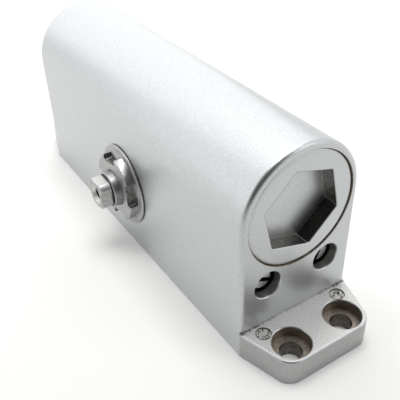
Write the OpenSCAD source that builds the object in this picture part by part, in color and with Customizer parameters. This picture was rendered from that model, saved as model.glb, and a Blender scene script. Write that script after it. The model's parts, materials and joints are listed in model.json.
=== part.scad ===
// Rack-and-pinion door closer with a bare double-ended spindle, in millimetres.
// X runs along the body, with the speed valves at +X. Z is up from the base that is screwed
// to the door or frame. The spindle lies along Y, and its photographed end points to -Y.
// The origin is on the base, in the middle of the body and on the spindle's axis.

/* [Body] */
// Length of the body between its two end faces
body_len = 136.5; // [135:0.5:150]
// Width of the body and of its half-round crown
body_w = 40; // [39.6:0.2:43]
// Height of the main bore's axis above the base
bore_z = 45; // [44.8:0.1:45.6]
// Radius of the rounded edges of the two end faces
edge_r = 1.5; // [0.8:0.1:2]

/* [Feet] */
// How far each foot stands out past its end face
foot_len = 16.75; // [15.5:0.25:20]
// Thickness of the feet
foot_t = 9; // [7:0.5:12]
// Width of a foot at its tip
foot_tip_w = 30; // [28:0.5:36]
// Radius of the foot's outer corners
foot_corner_r = 3.8; // [2:0.2:5]
// Distance of the mounting holes from the end face
hole_inset = 10.25; // [10:0.25:10.75]
// Distance between the two mounting holes of one foot
hole_pitch = 19; // [18:0.5:20]
// Diameter of the mounting holes
hole_d = 6.5; // [5.5:0.5:7]
// Diameter of the counterbores of the mounting holes
cbore_d = 11.4; // [10:0.2:11.6]
// Depth of the counterbores
cbore_depth = 3.5; // [2:0.5:5]
// Diameter of the round ejector marks on the feet
mark_d = 4.8; // [4:0.2:5]
// Depth of the ejector marks
mark_depth = 0.35; // [0.1:0.05:0.5]
// Distance of the ejector marks from the end face
mark_inset = 3.3; // [2.8:0.1:3.5]
// Distance between the two ejector marks of one foot
mark_pitch = 28; // [27:0.5:29]

/* [Bore and plugs] */
// Diameter of the main bore
bore_d = 34; // [33.4:0.1:34.4]
// Thread diameter of the end plugs
plug_d = 35.5; // [35.3:0.1:36]
// Length of the end plugs
plug_len = 11.25; // [9:0.25:12]
// Width of the chamfer round a plug's face
plug_chamfer = 1.2; // [0.4:0.1:1.6]
// Width across the flats of the hexagon socket
socket_af = 23; // [17:0.5:24]
// Depth of the hexagon socket
socket_depth = 4.8; // [4.2:0.2:6]
// Angle from +Y to the first corner of the socket
socket_turn = 43.5; // [0:0.5:60]

/* [Rack and pinion] */
// Height of the spindle's axis above the base
spindle_z = 23; // [22.8:0.1:23.2]
// Gear module of rack and pinion
gear_module = 1.3; // [1.27:0.01:1.32]
// Number of teeth on the pinion
teeth = 12; // [12:1:12]
// Pressure angle of the teeth
pressure_angle = 25; // [24:0.5:26]
// Play between the flanks at the pitch line
backlash = 0.2; // [0.15:0.05:0.3]
// Angle that the spindle can turn, from closed to fully open
swing = 180; // [150:5:180]
// Width of the pinion's teeth
pinion_w = 17.2; // [16:0.2:18]

/* [Spindle] */
// Diameter of the spindle's journals
journal_d = 12.4; // [12.2:0.1:12.6]
// Diameter of the collars beside the pinion
collar_d = 17.6; // [16.6:0.2:18]
// Length of journal that shows outside the gland
neck_len = 2.6; // [2:0.2:4]
// Width across the flats of the square end
square_af = 9.2; // [8.8:0.1:9.6]
// Length of the square end
square_len = 4.2; // [3.6:0.2:8]
// Diameter to which the corners of the square are turned
square_corner_d = 12.1; // [11.6:0.1:12.2]
// Thread diameter of the tapped holes in the spindle's ends
tap_d = 5; // [4:0.5:5.5]
// Depth of the tapped holes
tap_depth = 12; // [8:1:14]

/* [Glands] */
// Thread diameter of the glands
gland_thread_d = 23; // [22.6:0.2:23.4]
// Length of the gland's thread inside the body
gland_thread_len = 5.8; // [5.6:0.1:6]
// Diameter of the gland's thin flange
flange_d = 28.8; // [27:0.2:32]
// Thickness of the flange
flange_t = 0.9; // [0.6:0.1:1.2]
// Diameter of the notched crown
crown_d = 24; // [22.8:0.2:25]
// Height of the crown above the body's side
gland_h = 4; // [3.8:0.1:6]
// Width of the four spanner notches
notch_w = 8; // [6:0.5:9]
// Distance from the spindle's axis to the floor of a notch
notch_floor = 9.2; // [9:0.1:9.6]
// Angle of the first notch from +X
notch_turn = 10; // [0:1:45]

/* [Bearings and seals] */
// Diameter of the bearing needles
needle_d = 1.65; // [1.5:0.05:1.7]
// Number of needles in each bearing
needle_count = 16; // [12:1:18]
// Wall of the bearing's drawn cup
cup_wall = 0.6; // [0.5:0.05:0.6]
// Thickness of the thrust washers
washer_t = 1.1; // [0.8:0.1:1.3]
// Length of the spindle's lip seals
lip_seal_len = 2.5; // [2:0.1:2.6]
// Width of the O-rings of plugs and glands
ring_w = 1.3; // [1:0.1:1.5]

/* [Piston] */
// Length of the pressure head, on the valve side
head_len = 14; // [13:0.5:16]
// Length of the guide head, on the spring side
guide_len = 10.5; // [8:0.5:12]
// Solid length between the spring pocket and the pressure head
core_len = 12; // [10:0.5:14]
// Diameter of the spring pocket
pocket_d = 21.8; // [21.4:0.1:22]
// Width of the rack
rack_w = 16.4; // [14:0.2:16.6]
// Width of the piston's ring grooves
groove_w = 2.5; // [2:0.1:3]
// Distance of the check and relief valves from the piston's axis
ball_offset = 7; // [6:0.2:8]
// Diameter of the check ball
check_ball_d = 4.8; // [4.4:0.1:5]
// Diameter of the relief ball
relief_ball_d = 4; // [3.6:0.1:4.2]

/* [Springs] */
// Outer diameter of the main spring
main_spring_d = 21; // [20:0.1:21.2]
// Wire of the main spring
main_wire = 3.5; // [3:0.1:3.6]
// Turns of the main spring
main_turns = 12; // [10:1:12]
// Outer diameter of the inner spring
inner_spring_d = 13; // [12:0.1:13.2]
// Wire of the inner spring
inner_wire = 2.2; // [1.8:0.1:2.2]
// Turns of the inner spring
inner_turns = 16; // [12:1:17]
// Thickness of the spring seat's plate
seat_t = 1.5; // [1:0.1:2.5]

/* [Speed valves] */
// Distance between the two speed valves
valve_pitch = 21; // [20:0.5:22]
// Height of the speed valves above the base
valve_z = 23.4; // [22:0.2:24]
// Diameter of the access holes in the end face
access_d = 9; // [8.6:0.2:10]
// Thread diameter of the speed valves
valve_d = 8; // [7.4:0.1:8.2]
// Depth of a valve's slotted face below the end face
valve_recess = 2.85; // [2.6:0.05:4]
// Diameter of the slotted neck outside a valve's thread
valve_neck_d = 6.4; // [5.6:0.1:6.8]
// Length of the slotted neck
valve_neck_len = 2; // [2:0.1:2.4]
// Diameter of the drilled oil passages
passage_d = 3; // [2.4:0.2:3.4]
// Width of the screwdriver slots
slot_w = 1.3; // [1:0.1:1.6]
// Depth of the screwdriver slots
slot_depth = 1.4; // [1:0.1:2]
// Turn of the closing valve's slot from level, as it was set
closing_slot_turn = -26; // [-90:1:90]
// Turn of the latch valve's slot from level
latch_slot_turn = 66; // [-90:1:90]
// Length of a valve's thread
valve_thread_len = 6; // [5:0.5:6]

/* [Hidden] */
$fn = 96;
small_fn = 48;

// Radial play of every running fit and of every screwed or seated piece
run_gap = 0.05;
// Play between flat faces that move past each other
face_gap = 0.05;
// Overshoot of a cut past the face that it opens
eps = 1;

half_len = body_len / 2;
side_y = body_w / 2;
bore_r = bore_d / 2;
plug_r = plug_d / 2;
bore_end = half_len - plug_len;
foot_tip = half_len + foot_len;
hole_x = half_len + hole_inset;
mark_x = half_len + mark_inset;

pitch_r = gear_module * teeth / 2;
addendum = 0.92 * gear_module;
dedendum = 1.22 * gear_module;
tip_r = pitch_r + addendum;
root_r = pitch_r - dedendum;
base_r = pitch_r * cos(pressure_angle);
tooth_pitch = PI * gear_module;
travel = pitch_r * swing * PI / 180;
rack_z = spindle_z + pitch_r;
cross_r = tip_r + 0.6;

journal_r = journal_d / 2;
collar_r = collar_d / 2;
gland_in = side_y - gland_thread_len;
washer_out = gland_in - face_gap;
washer_in = washer_out - washer_t;
collar_out = washer_in - face_gap;
gland_top = side_y + gland_h;
neck_top = gland_top + neck_len;
neck_groove = 0.2;
spindle_end = neck_top + neck_groove + square_len;
// Step that the notch cutter leaves above the flange
notch_land = 0.1;
spindle_chamfer = 0.5;

roller_r = journal_r + run_gap + needle_d / 2;
cup_in_r = journal_r + needle_d + 2 * run_gap;
cup_out_r = cup_in_r + cup_wall;
cup_lip = 0.4;
cup_in = gland_in + 0.1;
cup_out = side_y - 0.3;
cage_in = cup_in + cup_lip + 0.1;
cage_out = cup_out - cup_lip - 0.1;
cage_rim = 0.6;
cage_r_in = roller_r - 0.35;
cage_r_out = roller_r + 0.35;
seal_r = cup_out_r - 0.3;
seal_in = cup_out + 0.2;
gland_lip_in = seal_in + lip_seal_len + 0.1;

window_clear = 2.5;
window_lo = -tip_r - window_clear;
window_hi = travel + tip_r + window_clear;
head_end = window_hi + head_len;
guide_end = window_lo - guide_len;
piston_r = bore_r - run_gap;
piston_chamfer = 0.8;
groove_depth = 1.6;
head_groove = window_hi + 2.5;
guide_groove = guide_end + 4;
pocket_r = pocket_d / 2;
pocket_floor = window_hi - core_len;
flat_z = spindle_z + cross_r + 0.3;
rack_tip_z = rack_z - addendum;
rack_root_z = rack_z + dedendum;

check_r = check_ball_d / 2;
check_hole_r = 1.6;
check_bore_r = check_r + 0.6;
check_seat = head_end - 6;
check_ball_x = check_seat + sqrt(check_r * check_r - check_hole_r * check_hole_r) + face_gap;
retainer_t = 1;
retainer_hole_r = 1.5;
relief_r = relief_ball_d / 2;
relief_hole_r = 1.2;
relief_bore_r = relief_r + 0.6;
relief_seat = head_end - 1.5;
relief_ball_x = relief_seat - sqrt(relief_r * relief_r - relief_hole_r * relief_hole_r) - face_gap;
relief_spring_end = relief_ball_x - relief_r + 0.4;
relief_spring_len = 8.6;
relief_wire = 0.7;
relief_spring_r = relief_r - 0.1;
relief_screw_len = 4;
relief_screw_end = relief_spring_end - relief_spring_len - 0.05;

seat_face = seat_t - bore_end;
spring_start = seat_face + 0.05;
spring_stop = pocket_floor - 0.05;
seat_r = bore_r - 0.5;
boss_r = inner_spring_d / 2 - inner_wire - 0.3;
boss_len = 6;

valve_y = valve_pitch / 2;
valve_r = valve_d / 2 - run_gap;
valve_face = half_len - valve_recess;
valve_neck_r = valve_neck_d / 2;
shoulder_x = valve_face - valve_neck_len;
thread_end = shoulder_x - valve_thread_len;
land_len = 1;
valve_break = 0.3;
valve_groove_w = 1.5;
valve_groove_depth = 0.85;
valve_groove_r = valve_r - valve_groove_depth;
groove_end = thread_end - valve_groove_w;
land_end = groove_end - land_len;
seat_x = half_len - 26.25;
tip_x = seat_x + 1.3;
cone_len = 2.2;
stem_r = 2.4;
needle_tip_r = 1;
access_end = shoulder_x - 0.5;
latch_port = bore_end - 3.5;
closing_port = latch_port - 6.5;
port_plug_r = passage_d / 2 + 0.5;
port_plug_len = 5;
port_plug_z = 0.6;

// A round rod along X
module rod_x(x0, x1, r, y = 0, z = bore_z) {
    translate([x0, y, z])
        rotate([0, 90, 0])
            cylinder(r = r, h = x1 - x0);
}

// A shape turned about the line along X at y and z, from points given as radius and x
module turned_x(points, y = 0, z = bore_z) {
    translate([0, y, z])
        rotate([0, 90, 0])
            rotate_extrude()
                polygon(points);
}

// The section of a ring, from its inner and outer radius and its two ends
function ring_section(r0, r1, a, b) = [[r0, a], [r1, a], [r1, b], [r0, b]];

// Points on an arc
function arc(cx, cy, r, from, to, steps = 6) =
    [for (i = [0:steps]) let (a = from + (to - from) * i / steps) [cx + r * cos(a), cy + r * sin(a)]];

// What is drawn here with Z outward from the middle of the body lands on the -Y side
module front() {
    translate([0, 0, spindle_z])
        rotate([90, 0, 0])
            children();
}

// The same on the +Y side
module rear() {
    mirror([0, 1, 0])
        front()
            children();
}

// Half of the body's plan, as width against length, with its rounded end edges
half_plan = concat(arc(side_y - edge_r, half_len - edge_r, edge_r, 90, 0),
                   arc(side_y - edge_r, edge_r - half_len, edge_r, 0, -90));

// Plan of a foot: it tapers to its tip, and its outer corners are arcs
taper = (body_w - foot_tip_w) / 2;
taper_turn = atan2(taper, foot_len);
corner_x = foot_tip - foot_corner_r;
corner_y = side_y - (corner_x - half_len) * tan(taper_turn) - foot_corner_r / cos(taper_turn);
foot_plan = concat([[half_len - edge_r, -side_y], [half_len, -side_y]],
                   arc(corner_x, -corner_y, foot_corner_r, taper_turn - 90, 0),
                   arc(corner_x, corner_y, foot_corner_r, 0, 90 - taper_turn),
                   [[half_len, side_y], [half_len - edge_r, side_y]]);

module block() {
    linear_extrude(bore_z)
        polygon(concat([for (p = half_plan) [p[1], p[0]]],
                       [for (i = [len(half_plan) - 1:-1:0]) [half_plan[i][1], -half_plan[i][0]]]));
    translate([0, 0, bore_z])
        rotate([90, 0, 0])
            rotate([0, 90, 0])
                rotate_extrude(angle = 180)
                    polygon(concat([[0, half_len]], half_plan, [[0, -half_len]]));
}

module foot() {
    difference() {
        linear_extrude(foot_t)
            polygon(foot_plan);
        for (side = [-1, 1]) {
            translate([hole_x, side * hole_pitch / 2, -eps])
                cylinder(d = hole_d, h = foot_t + 2 * eps, $fn = small_fn);
            translate([hole_x, side * hole_pitch / 2, foot_t - cbore_depth])
                cylinder(d = cbore_d, h = cbore_depth + eps, $fn = small_fn);
            translate([mark_x, side * mark_pitch / 2, foot_t - mark_depth])
                cylinder(d = mark_d, h = mark_depth + eps, $fn = small_fn);
        }
    }
}

// One speed valve's bore, with its port up to the main bore and its passage to the spindle
module valve_ways(y, port) {
    rod_x(access_end, half_len + eps, access_d / 2, y, valve_z, $fn = small_fn);
    rod_x(seat_x, access_end + eps, valve_d / 2, y, valve_z, $fn = small_fn);
    rod_x(0, seat_x + eps, passage_d / 2, y, valve_z, $fn = small_fn);
    translate([port, y, port_plug_z])
        cylinder(d = passage_d, h = bore_z - bore_r + 4, $fn = small_fn);
    translate([port, y, -eps])
        cylinder(r = port_plug_r, h = port_plug_len + port_plug_z + eps, $fn = small_fn);
}

module housing() {
    color("silver")
        difference() {
            union() {
                block();
                foot();
                mirror([1, 0, 0])
                    foot();
            }
            rod_x(-half_len, half_len, bore_r);
            rod_x(bore_end, half_len + eps, plug_r);
            rod_x(-half_len - eps, -bore_end, plug_r);
            front() {
                translate([0, 0, -side_y])
                    cylinder(r = cross_r, h = body_w);
                translate([0, 0, gland_in])
                    cylinder(d = gland_thread_d, h = gland_thread_len + eps);
            }
            rear()
                translate([0, 0, gland_in])
                    cylinder(d = gland_thread_d, h = gland_thread_len + eps);
            valve_ways(-valve_y, closing_port);
            valve_ways(valve_y, latch_port);
        }
}

// The plug at the valve end, with its socket, its chamfered face and its O-ring groove
module end_plug() {
    r = plug_r - run_gap;
    groove_a = bore_end + 0.6;
    groove_b = groove_a + ring_w + 0.2;
    groove_r = r - 1.2;
    difference() {
        turned_x([[0, bore_end], [r, bore_end], [r, groove_a], [groove_r, groove_a],
                  [groove_r, groove_b], [r, groove_b], [r, half_len - 0.5],
                  [r - plug_chamfer, half_len], [0, half_len]]);
        translate([half_len - socket_depth, 0, bore_z])
            rotate([0, 90, 0])
                rotate(socket_turn + 90)
                    linear_extrude(socket_depth + eps)
                        circle(r = socket_af / 2 / cos(30), $fn = 6);
    }
}

module plug_seal() {
    r = plug_r - run_gap;
    turned_x(ring_section(r - 1.15, r, bore_end + 0.7, bore_end + 0.7 + ring_w));
}

module valve_end_plug() {
    color("silver")
        end_plug();
}

module valve_plug_seal() {
    color("black")
        plug_seal();
}

module spring_end_plug() {
    color("silver")
        mirror([1, 0, 0])
            end_plug();
}

module spring_plug_seal() {
    color("black")
        mirror([1, 0, 0])
            plug_seal();
}

// Plate on the far plug, with a boss that keeps the inner spring on the axis
module spring_seat() {
    color("dimgray")
        turned_x([[0, -bore_end], [seat_r, -bore_end], [seat_r, seat_face], [boss_r, seat_face],
                  [boss_r, seat_face + boss_len - 1], [boss_r - 1, seat_face + boss_len],
                  [0, seat_face + boss_len]]);
}

// Half the angle of a pinion tooth at radius r, in degrees
function involute(a) = tan(a) * 180 / PI - a;
tooth_half = (tooth_pitch / 2 - backlash / 2) / (2 * pitch_r) * 180 / PI;
function half_angle(r) =
    tooth_half + involute(pressure_angle) - involute(acos(base_r / max(r, base_r)));

// Outline of the pinion, whose first tooth points along the outline's +Y
flank = concat([root_r], [for (i = [0:4]) base_r + (tip_r - base_r) * i / 4]);
pinion_outline = [for (t = [0:teeth - 1], side = [-1, 1], i = [0:len(flank) - 1])
    let (r = flank[side < 0 ? i : len(flank) - 1 - i], a = 90 + t * 360 / teeth + side * half_angle(r))
    [r * cos(a), r * sin(a)]];

// One half of the spindle, without its square: radius against distance from the middle
module spindle_half() {
    rotate_extrude()
        polygon([[0, 0], [root_r, 0], [root_r, pinion_w / 2], [collar_r, pinion_w / 2],
                 [collar_r, collar_out], [journal_r, collar_out], [journal_r, neck_top],
                 [journal_r - 0.5, neck_top], [journal_r - 0.5, neck_top + neck_groove],
                 [0, neck_top + neck_groove]]);
    intersection() {
        translate([-square_af / 2, -square_af / 2, neck_top])
            cube([square_af, square_af, spindle_end - neck_top]);
        rotate_extrude()
            polygon([[0, neck_top], [square_corner_d / 2, neck_top],
                     [square_corner_d / 2, spindle_end - spindle_chamfer],
                     [square_corner_d / 2 - 2 * spindle_chamfer, spindle_end], [0, spindle_end]]);
    }
}

module tapped_hole() {
    translate([0, 0, spindle_end - tap_depth])
        cylinder(d = tap_d, h = tap_depth + eps, $fn = small_fn);
}

module spindle() {
    color("lightgray")
        difference() {
            union() {
                front()
                    spindle_half();
                rear()
                    spindle_half();
                front()
                    translate([0, 0, -pinion_w / 2])
                        linear_extrude(pinion_w)
                            polygon(pinion_outline);
            }
            front()
                tapped_hole();
            rear()
                tapped_hole();
        }
}

// Threaded cap that carries the needle bearing and the lip seal
module gland() {
    r = gland_thread_d / 2 - run_gap;
    groove_b = side_y - 0.3;
    groove_a = groove_b - ring_w - 0.2;
    groove_r = r - 1;
    difference() {
        rotate_extrude()
            polygon([[cup_out_r + run_gap, gland_in], [r, gland_in], [r, groove_a],
                     [groove_r, groove_a], [groove_r, groove_b], [r, groove_b], [r, side_y],
                     [flange_d / 2, side_y], [flange_d / 2, side_y + flange_t],
                     [crown_d / 2, side_y + flange_t], [crown_d / 2, gland_top - 0.3],
                     [crown_d / 2 - 0.3, gland_top], [journal_r + 0.3, gland_top],
                     [journal_r + run_gap, gland_top - 0.3], [journal_r + run_gap, gland_lip_in],
                     [seal_r + run_gap, gland_lip_in], [seal_r + run_gap, cup_out + 0.1],
                     [cup_out_r + run_gap, cup_out + 0.1]]);
        for (i = [0:3])
            rotate(notch_turn + 90 * i)
                translate([notch_floor, -notch_w / 2, side_y + flange_t + notch_land])
                    cube([crown_d / 2, notch_w, gland_h]);
    }
}

module gland_seal() {
    r = gland_thread_d / 2 - run_gap;
    rotate_extrude()
        polygon(ring_section(r - 0.95, r, side_y - 0.4 - ring_w, side_y - 0.4));
}

// Lip seal: a stiff outer ring and a lip that runs on the journal
module shaft_seal() {
    lip_r = journal_r + run_gap;
    rotate_extrude()
        polygon([[lip_r, seal_in], [lip_r + 0.5, seal_in], [lip_r + 0.8, seal_in + lip_seal_len - 0.7],
                 [seal_r - 0.5, seal_in + lip_seal_len - 0.7], [seal_r - 0.5, seal_in],
                 [seal_r, seal_in], [seal_r, seal_in + lip_seal_len], [lip_r + 0.4, seal_in + lip_seal_len],
                 [lip_r, seal_in + 0.8]]);
}

module bearing_shell() {
    lip_r = cage_r_in;
    rotate_extrude()
        polygon([[lip_r, cup_in], [cup_out_r, cup_in], [cup_out_r, cup_out], [lip_r, cup_out],
                 [lip_r, cup_out - cup_lip], [cup_in_r, cup_out - cup_lip],
                 [cup_in_r, cup_in + cup_lip], [lip_r, cup_in + cup_lip]]);
}

// Two rims joined by bars, with a window round each needle
module needle_cage() {
    difference() {
        rotate_extrude()
            polygon(ring_section(cage_r_in, cage_r_out, cage_in, cage_out));
        for (i = [0:needle_count - 1])
            rotate(360 / needle_count * i)
                translate([journal_r, -needle_d / 2 - run_gap, cage_in + cage_rim])
                    cube([cup_in_r - journal_r, needle_d + 2 * run_gap, cage_out - cage_in - 2 * cage_rim]);
    }
}

module needles() {
    for (i = [0:needle_count - 1])
        rotate(360 / needle_count * i)
            translate([roller_r, 0, cage_in + cage_rim + face_gap])
                cylinder(d = needle_d, h = cage_out - cage_in - 2 * (cage_rim + face_gap), $fn = 32);
}

module thrust_washer() {
    rotate_extrude()
        polygon(ring_section(journal_r + 0.1, cross_r - 0.1, washer_in, washer_out));
}

module front_gland() {
    color("gainsboro")
        front()
            gland();
}

module rear_gland() {
    color("gainsboro")
        rear()
            gland();
}

module front_gland_seal() {
    color("black")
        front()
            gland_seal();
}

module rear_gland_seal() {
    color("black")
        rear()
            gland_seal();
}

module front_shaft_seal() {
    color("black")
        front()
            shaft_seal();
}

module rear_shaft_seal() {
    color("black")
        rear()
            shaft_seal();
}

module front_bearing_shell() {
    color("slategray")
        front()
            bearing_shell();
}

module rear_bearing_shell() {
    color("slategray")
        rear()
            bearing_shell();
}

module front_needle_cage() {
    color("goldenrod")
        front()
            needle_cage();
}

module rear_needle_cage() {
    color("goldenrod")
        rear()
            needle_cage();
}

module front_needles() {
    color("lightsteelblue")
        front()
            needles();
}

module rear_needles() {
    color("lightsteelblue")
        rear()
            needles();
}

module front_thrust_washer() {
    color("darkgray")
        front()
            thrust_washer();
}

module rear_thrust_washer() {
    color("darkgray")
        rear()
            thrust_washer();
}

// The gap between two rack teeth, as x against height
function gap_half(z) = tooth_pitch / 4 + backlash / 4 - (z - rack_z) * tan(pressure_angle);
rack_gap = [[gap_half(rack_root_z), rack_root_z], [-gap_half(rack_root_z), rack_root_z],
            [-gap_half(rack_tip_z - 0.5), rack_tip_z - 0.5], [gap_half(rack_tip_z - 0.5), rack_tip_z - 0.5]];
first_gap = ceil((window_lo + gap_half(rack_tip_z)) / tooth_pitch);
last_gap = floor((window_hi - gap_half(rack_tip_z)) / tooth_pitch);

module piston() {
    window_w = window_hi - window_lo;
    groove_r = piston_r - groove_depth;
    color("gray")
        difference() {
            turned_x([[0, guide_end], [piston_r - piston_chamfer, guide_end],
                      [piston_r, guide_end + piston_chamfer], [piston_r, guide_groove],
                      [groove_r, guide_groove], [groove_r, guide_groove + groove_w],
                      [piston_r, guide_groove + groove_w], [piston_r, head_groove],
                      [groove_r, head_groove], [groove_r, head_groove + groove_w],
                      [piston_r, head_groove + groove_w], [piston_r, head_end - piston_chamfer],
                      [piston_r - piston_chamfer, head_end], [0, head_end]]);
            for (side = [-1, 1])
                translate([window_lo, side * (rack_w / 2 + bore_r / 2) - bore_r / 2, bore_z - bore_d])
                    cube([window_w, bore_r, flat_z - bore_z + bore_d]);
            translate([window_lo, -bore_r, bore_z - bore_d])
                cube([window_w, bore_d, rack_tip_z - bore_z + bore_d]);
            for (i = [first_gap:last_gap])
                translate([i * tooth_pitch, 0, 0])
                    rotate([90, 0, 0])
                        linear_extrude(rack_w + 2 * eps, center = true)
                            polygon(rack_gap);
            rod_x(guide_end - eps, pocket_floor, pocket_r);
            rod_x(pocket_floor - eps, check_seat + eps, check_hole_r, -ball_offset, $fn = small_fn);
            rod_x(check_seat, head_end + eps, check_bore_r, -ball_offset, $fn = small_fn);
            rod_x(pocket_floor - eps, relief_seat, relief_bore_r, ball_offset, $fn = small_fn);
            rod_x(relief_seat - eps, head_end + eps, relief_hole_r, ball_offset, $fn = small_fn);
        }
}

module piston_ring() {
    color("dimgray")
        turned_x(ring_section(piston_r - groove_depth + 0.05, piston_r, head_groove + 0.1,
                              head_groove + groove_w - 0.1));
}

module guide_ring() {
    color("dimgray")
        turned_x(ring_section(piston_r - groove_depth + 0.05, piston_r, guide_groove + 0.1,
                              guide_groove + groove_w - 0.1));
}

module check_ball() {
    color("lightsteelblue")
        translate([check_ball_x, -ball_offset, bore_z])
            sphere(d = check_ball_d, $fn = small_fn);
}

module check_retainer() {
    color("slategray")
        turned_x(ring_section(retainer_hole_r, check_bore_r - 0.02, head_end - retainer_t, head_end),
                 -ball_offset, $fn = small_fn);
}

module relief_ball() {
    color("lightsteelblue")
        translate([relief_ball_x, ball_offset, bore_z])
            sphere(d = relief_ball_d, $fn = small_fn);
}

// A slotted screw with a hole through it for the oil
module relief_screw() {
    color("slategray")
        difference() {
            rod_x(relief_screw_end - relief_screw_len, relief_screw_end, relief_bore_r - 0.02,
                  ball_offset, $fn = small_fn);
            rod_x(relief_screw_end - relief_screw_len - eps, relief_screw_end + eps, 0.8,
                  ball_offset, $fn = small_fn);
            translate([relief_screw_end - relief_screw_len - eps, ball_offset - 0.4, bore_z - relief_bore_r])
                cube([eps + 1, 0.8, 2 * relief_bore_r]);
        }
}

// Place along the axis of a spring's wire after t turns: one close turn at each end
dead_gap = 0.5;
function coil_x(t, turns, len, wire) =
    let (dead = wire + dead_gap, live = (len - wire - 2 * dead) / (turns - 2))
    wire / 2 + dead * (min(t, 1) + max(t - turns + 1, 0)) + live * min(max(t - 1, 0), turns - 2);

// A compression spring along X: one tube whose rings are worked out from the helix
module spring(x0, len, coil_r, wire, turns, rings, sides) {
    last = turns * rings;
    slope = atan2(len / turns, 2 * PI * coil_r);
    centres = [for (i = [0:last]) [coil_x(i / rings, turns, len, wire),
                                   coil_r * cos(360 * i / rings), coil_r * sin(360 * i / rings)]];
    points = [for (i = [0:last], k = [0:sides - 1])
        let (a = 360 * i / rings, b = 360 * k / sides, out = wire / 2 * cos(b), up = wire / 2 * sin(b))
        centres[i] + [up * cos(slope), out * cos(a) + up * sin(slope) * sin(a),
                      out * sin(a) - up * sin(slope) * cos(a)]];
    walls = [for (i = [0:last - 1], k = [0:sides - 1])
        let (a = i * sides + k, b = i * sides + (k + 1) % sides)
        each [[a, a + sides, b], [b, a + sides, b + sides]]];
    caps = [for (k = [1:sides - 2])
        each [[0, k, k + 1], [last * sides, last * sides + k + 1, last * sides + k]]];
    gap = min([for (i = [0:last - rings]) norm(centres[i + rings] - centres[i])]) - wire;
    echo(str("least gap between the turns of the ", wire, " mm wire: ", gap, " mm"));
    translate([x0, 0, bore_z])
        polyhedron(points = points, faces = concat(walls, caps));
}

module main_spring() {
    color("darkslategray")
        spring(spring_start, spring_stop - spring_start, (main_spring_d - main_wire) / 2,
               main_wire, main_turns, 12, 6);
}

module inner_spring() {
    color("darkslategray")
        spring(spring_start, spring_stop - spring_start, (inner_spring_d - inner_wire) / 2,
               inner_wire, inner_turns, 10, 6);
}

module relief_spring() {
    color("darkslategray")
        translate([0, ball_offset, 0])
            spring(relief_spring_end - relief_spring_len, relief_spring_len,
                   relief_spring_r - relief_wire / 2, relief_wire, 6, 8, 6);
}

// A speed valve: slotted neck, thread, O-ring groove, stem and conical point
module speed_valve(y, slot_turn) {
    difference() {
        turned_x([[0, tip_x], [needle_tip_r, tip_x], [stem_r, tip_x + cone_len], [stem_r, land_end],
                  [valve_r, land_end], [valve_r, groove_end], [valve_groove_r, groove_end],
                  [valve_groove_r, thread_end], [valve_r, thread_end],
                  [valve_r, shoulder_x - valve_break], [valve_r - valve_break, shoulder_x],
                  [valve_neck_r, shoulder_x], [valve_neck_r, valve_face - valve_break],
                  [valve_neck_r - valve_break, valve_face], [0, valve_face]], y, valve_z);
        translate([valve_face - slot_depth, y, valve_z])
            rotate([slot_turn, 0, 0])
                translate([0, -valve_d, -slot_w / 2])
                    cube([slot_depth + eps, 2 * valve_d, slot_w]);
    }
}

module valve_seal(y) {
    turned_x(ring_section(valve_groove_r + run_gap, valve_r, groove_end + 0.1, thread_end - 0.1),
             y, valve_z);
}

module closing_speed_valve() {
    color("lightgray")
        speed_valve(-valve_y, closing_slot_turn);
}

module latch_speed_valve() {
    color("lightgray")
        speed_valve(valve_y, latch_slot_turn);
}

module closing_valve_seal() {
    color("black")
        valve_seal(-valve_y);
}

module latch_valve_seal() {
    color("black")
        valve_seal(valve_y);
}

module port_plug(x, y) {
    translate([x, y, port_plug_z])
        cylinder(r = port_plug_r, h = port_plug_len, $fn = small_fn);
}

module passage_plugs() {
    color("darkgray") {
        port_plug(closing_port, -valve_y);
        port_plug(latch_port, valve_y);
    }
}

housing();
valve_end_plug();
valve_plug_seal();
spring_end_plug();
spring_plug_seal();
spring_seat();
spindle();
front_gland();
rear_gland();
front_gland_seal();
rear_gland_seal();
front_shaft_seal();
rear_shaft_seal();
front_bearing_shell();
rear_bearing_shell();
front_needle_cage();
rear_needle_cage();
front_needles();
rear_needles();
front_thrust_washer();
rear_thrust_washer();
piston();
piston_ring();
guide_ring();
check_ball();
check_retainer();
relief_ball();
relief_spring();
relief_screw();
main_spring();
inner_spring();
closing_speed_valve();
closing_valve_seal();
latch_speed_valve();
latch_valve_seal();
passage_plugs();
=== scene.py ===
# %% [markdown]
# # A door closer's body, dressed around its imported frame
# The construction arrives finished: every piece is at its real size and place. This lesson gives
# the pieces that show their real surfaces: rounded casting edges, broken edges on turned steel,
# paint, nickel, oil. The sizes could be typed in again, but reading them from the frame keeps
# every piece where its node is. All lengths are metres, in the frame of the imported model.

import json
import math

import bmesh
import bpy
from mathutils import Matrix, Vector


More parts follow.
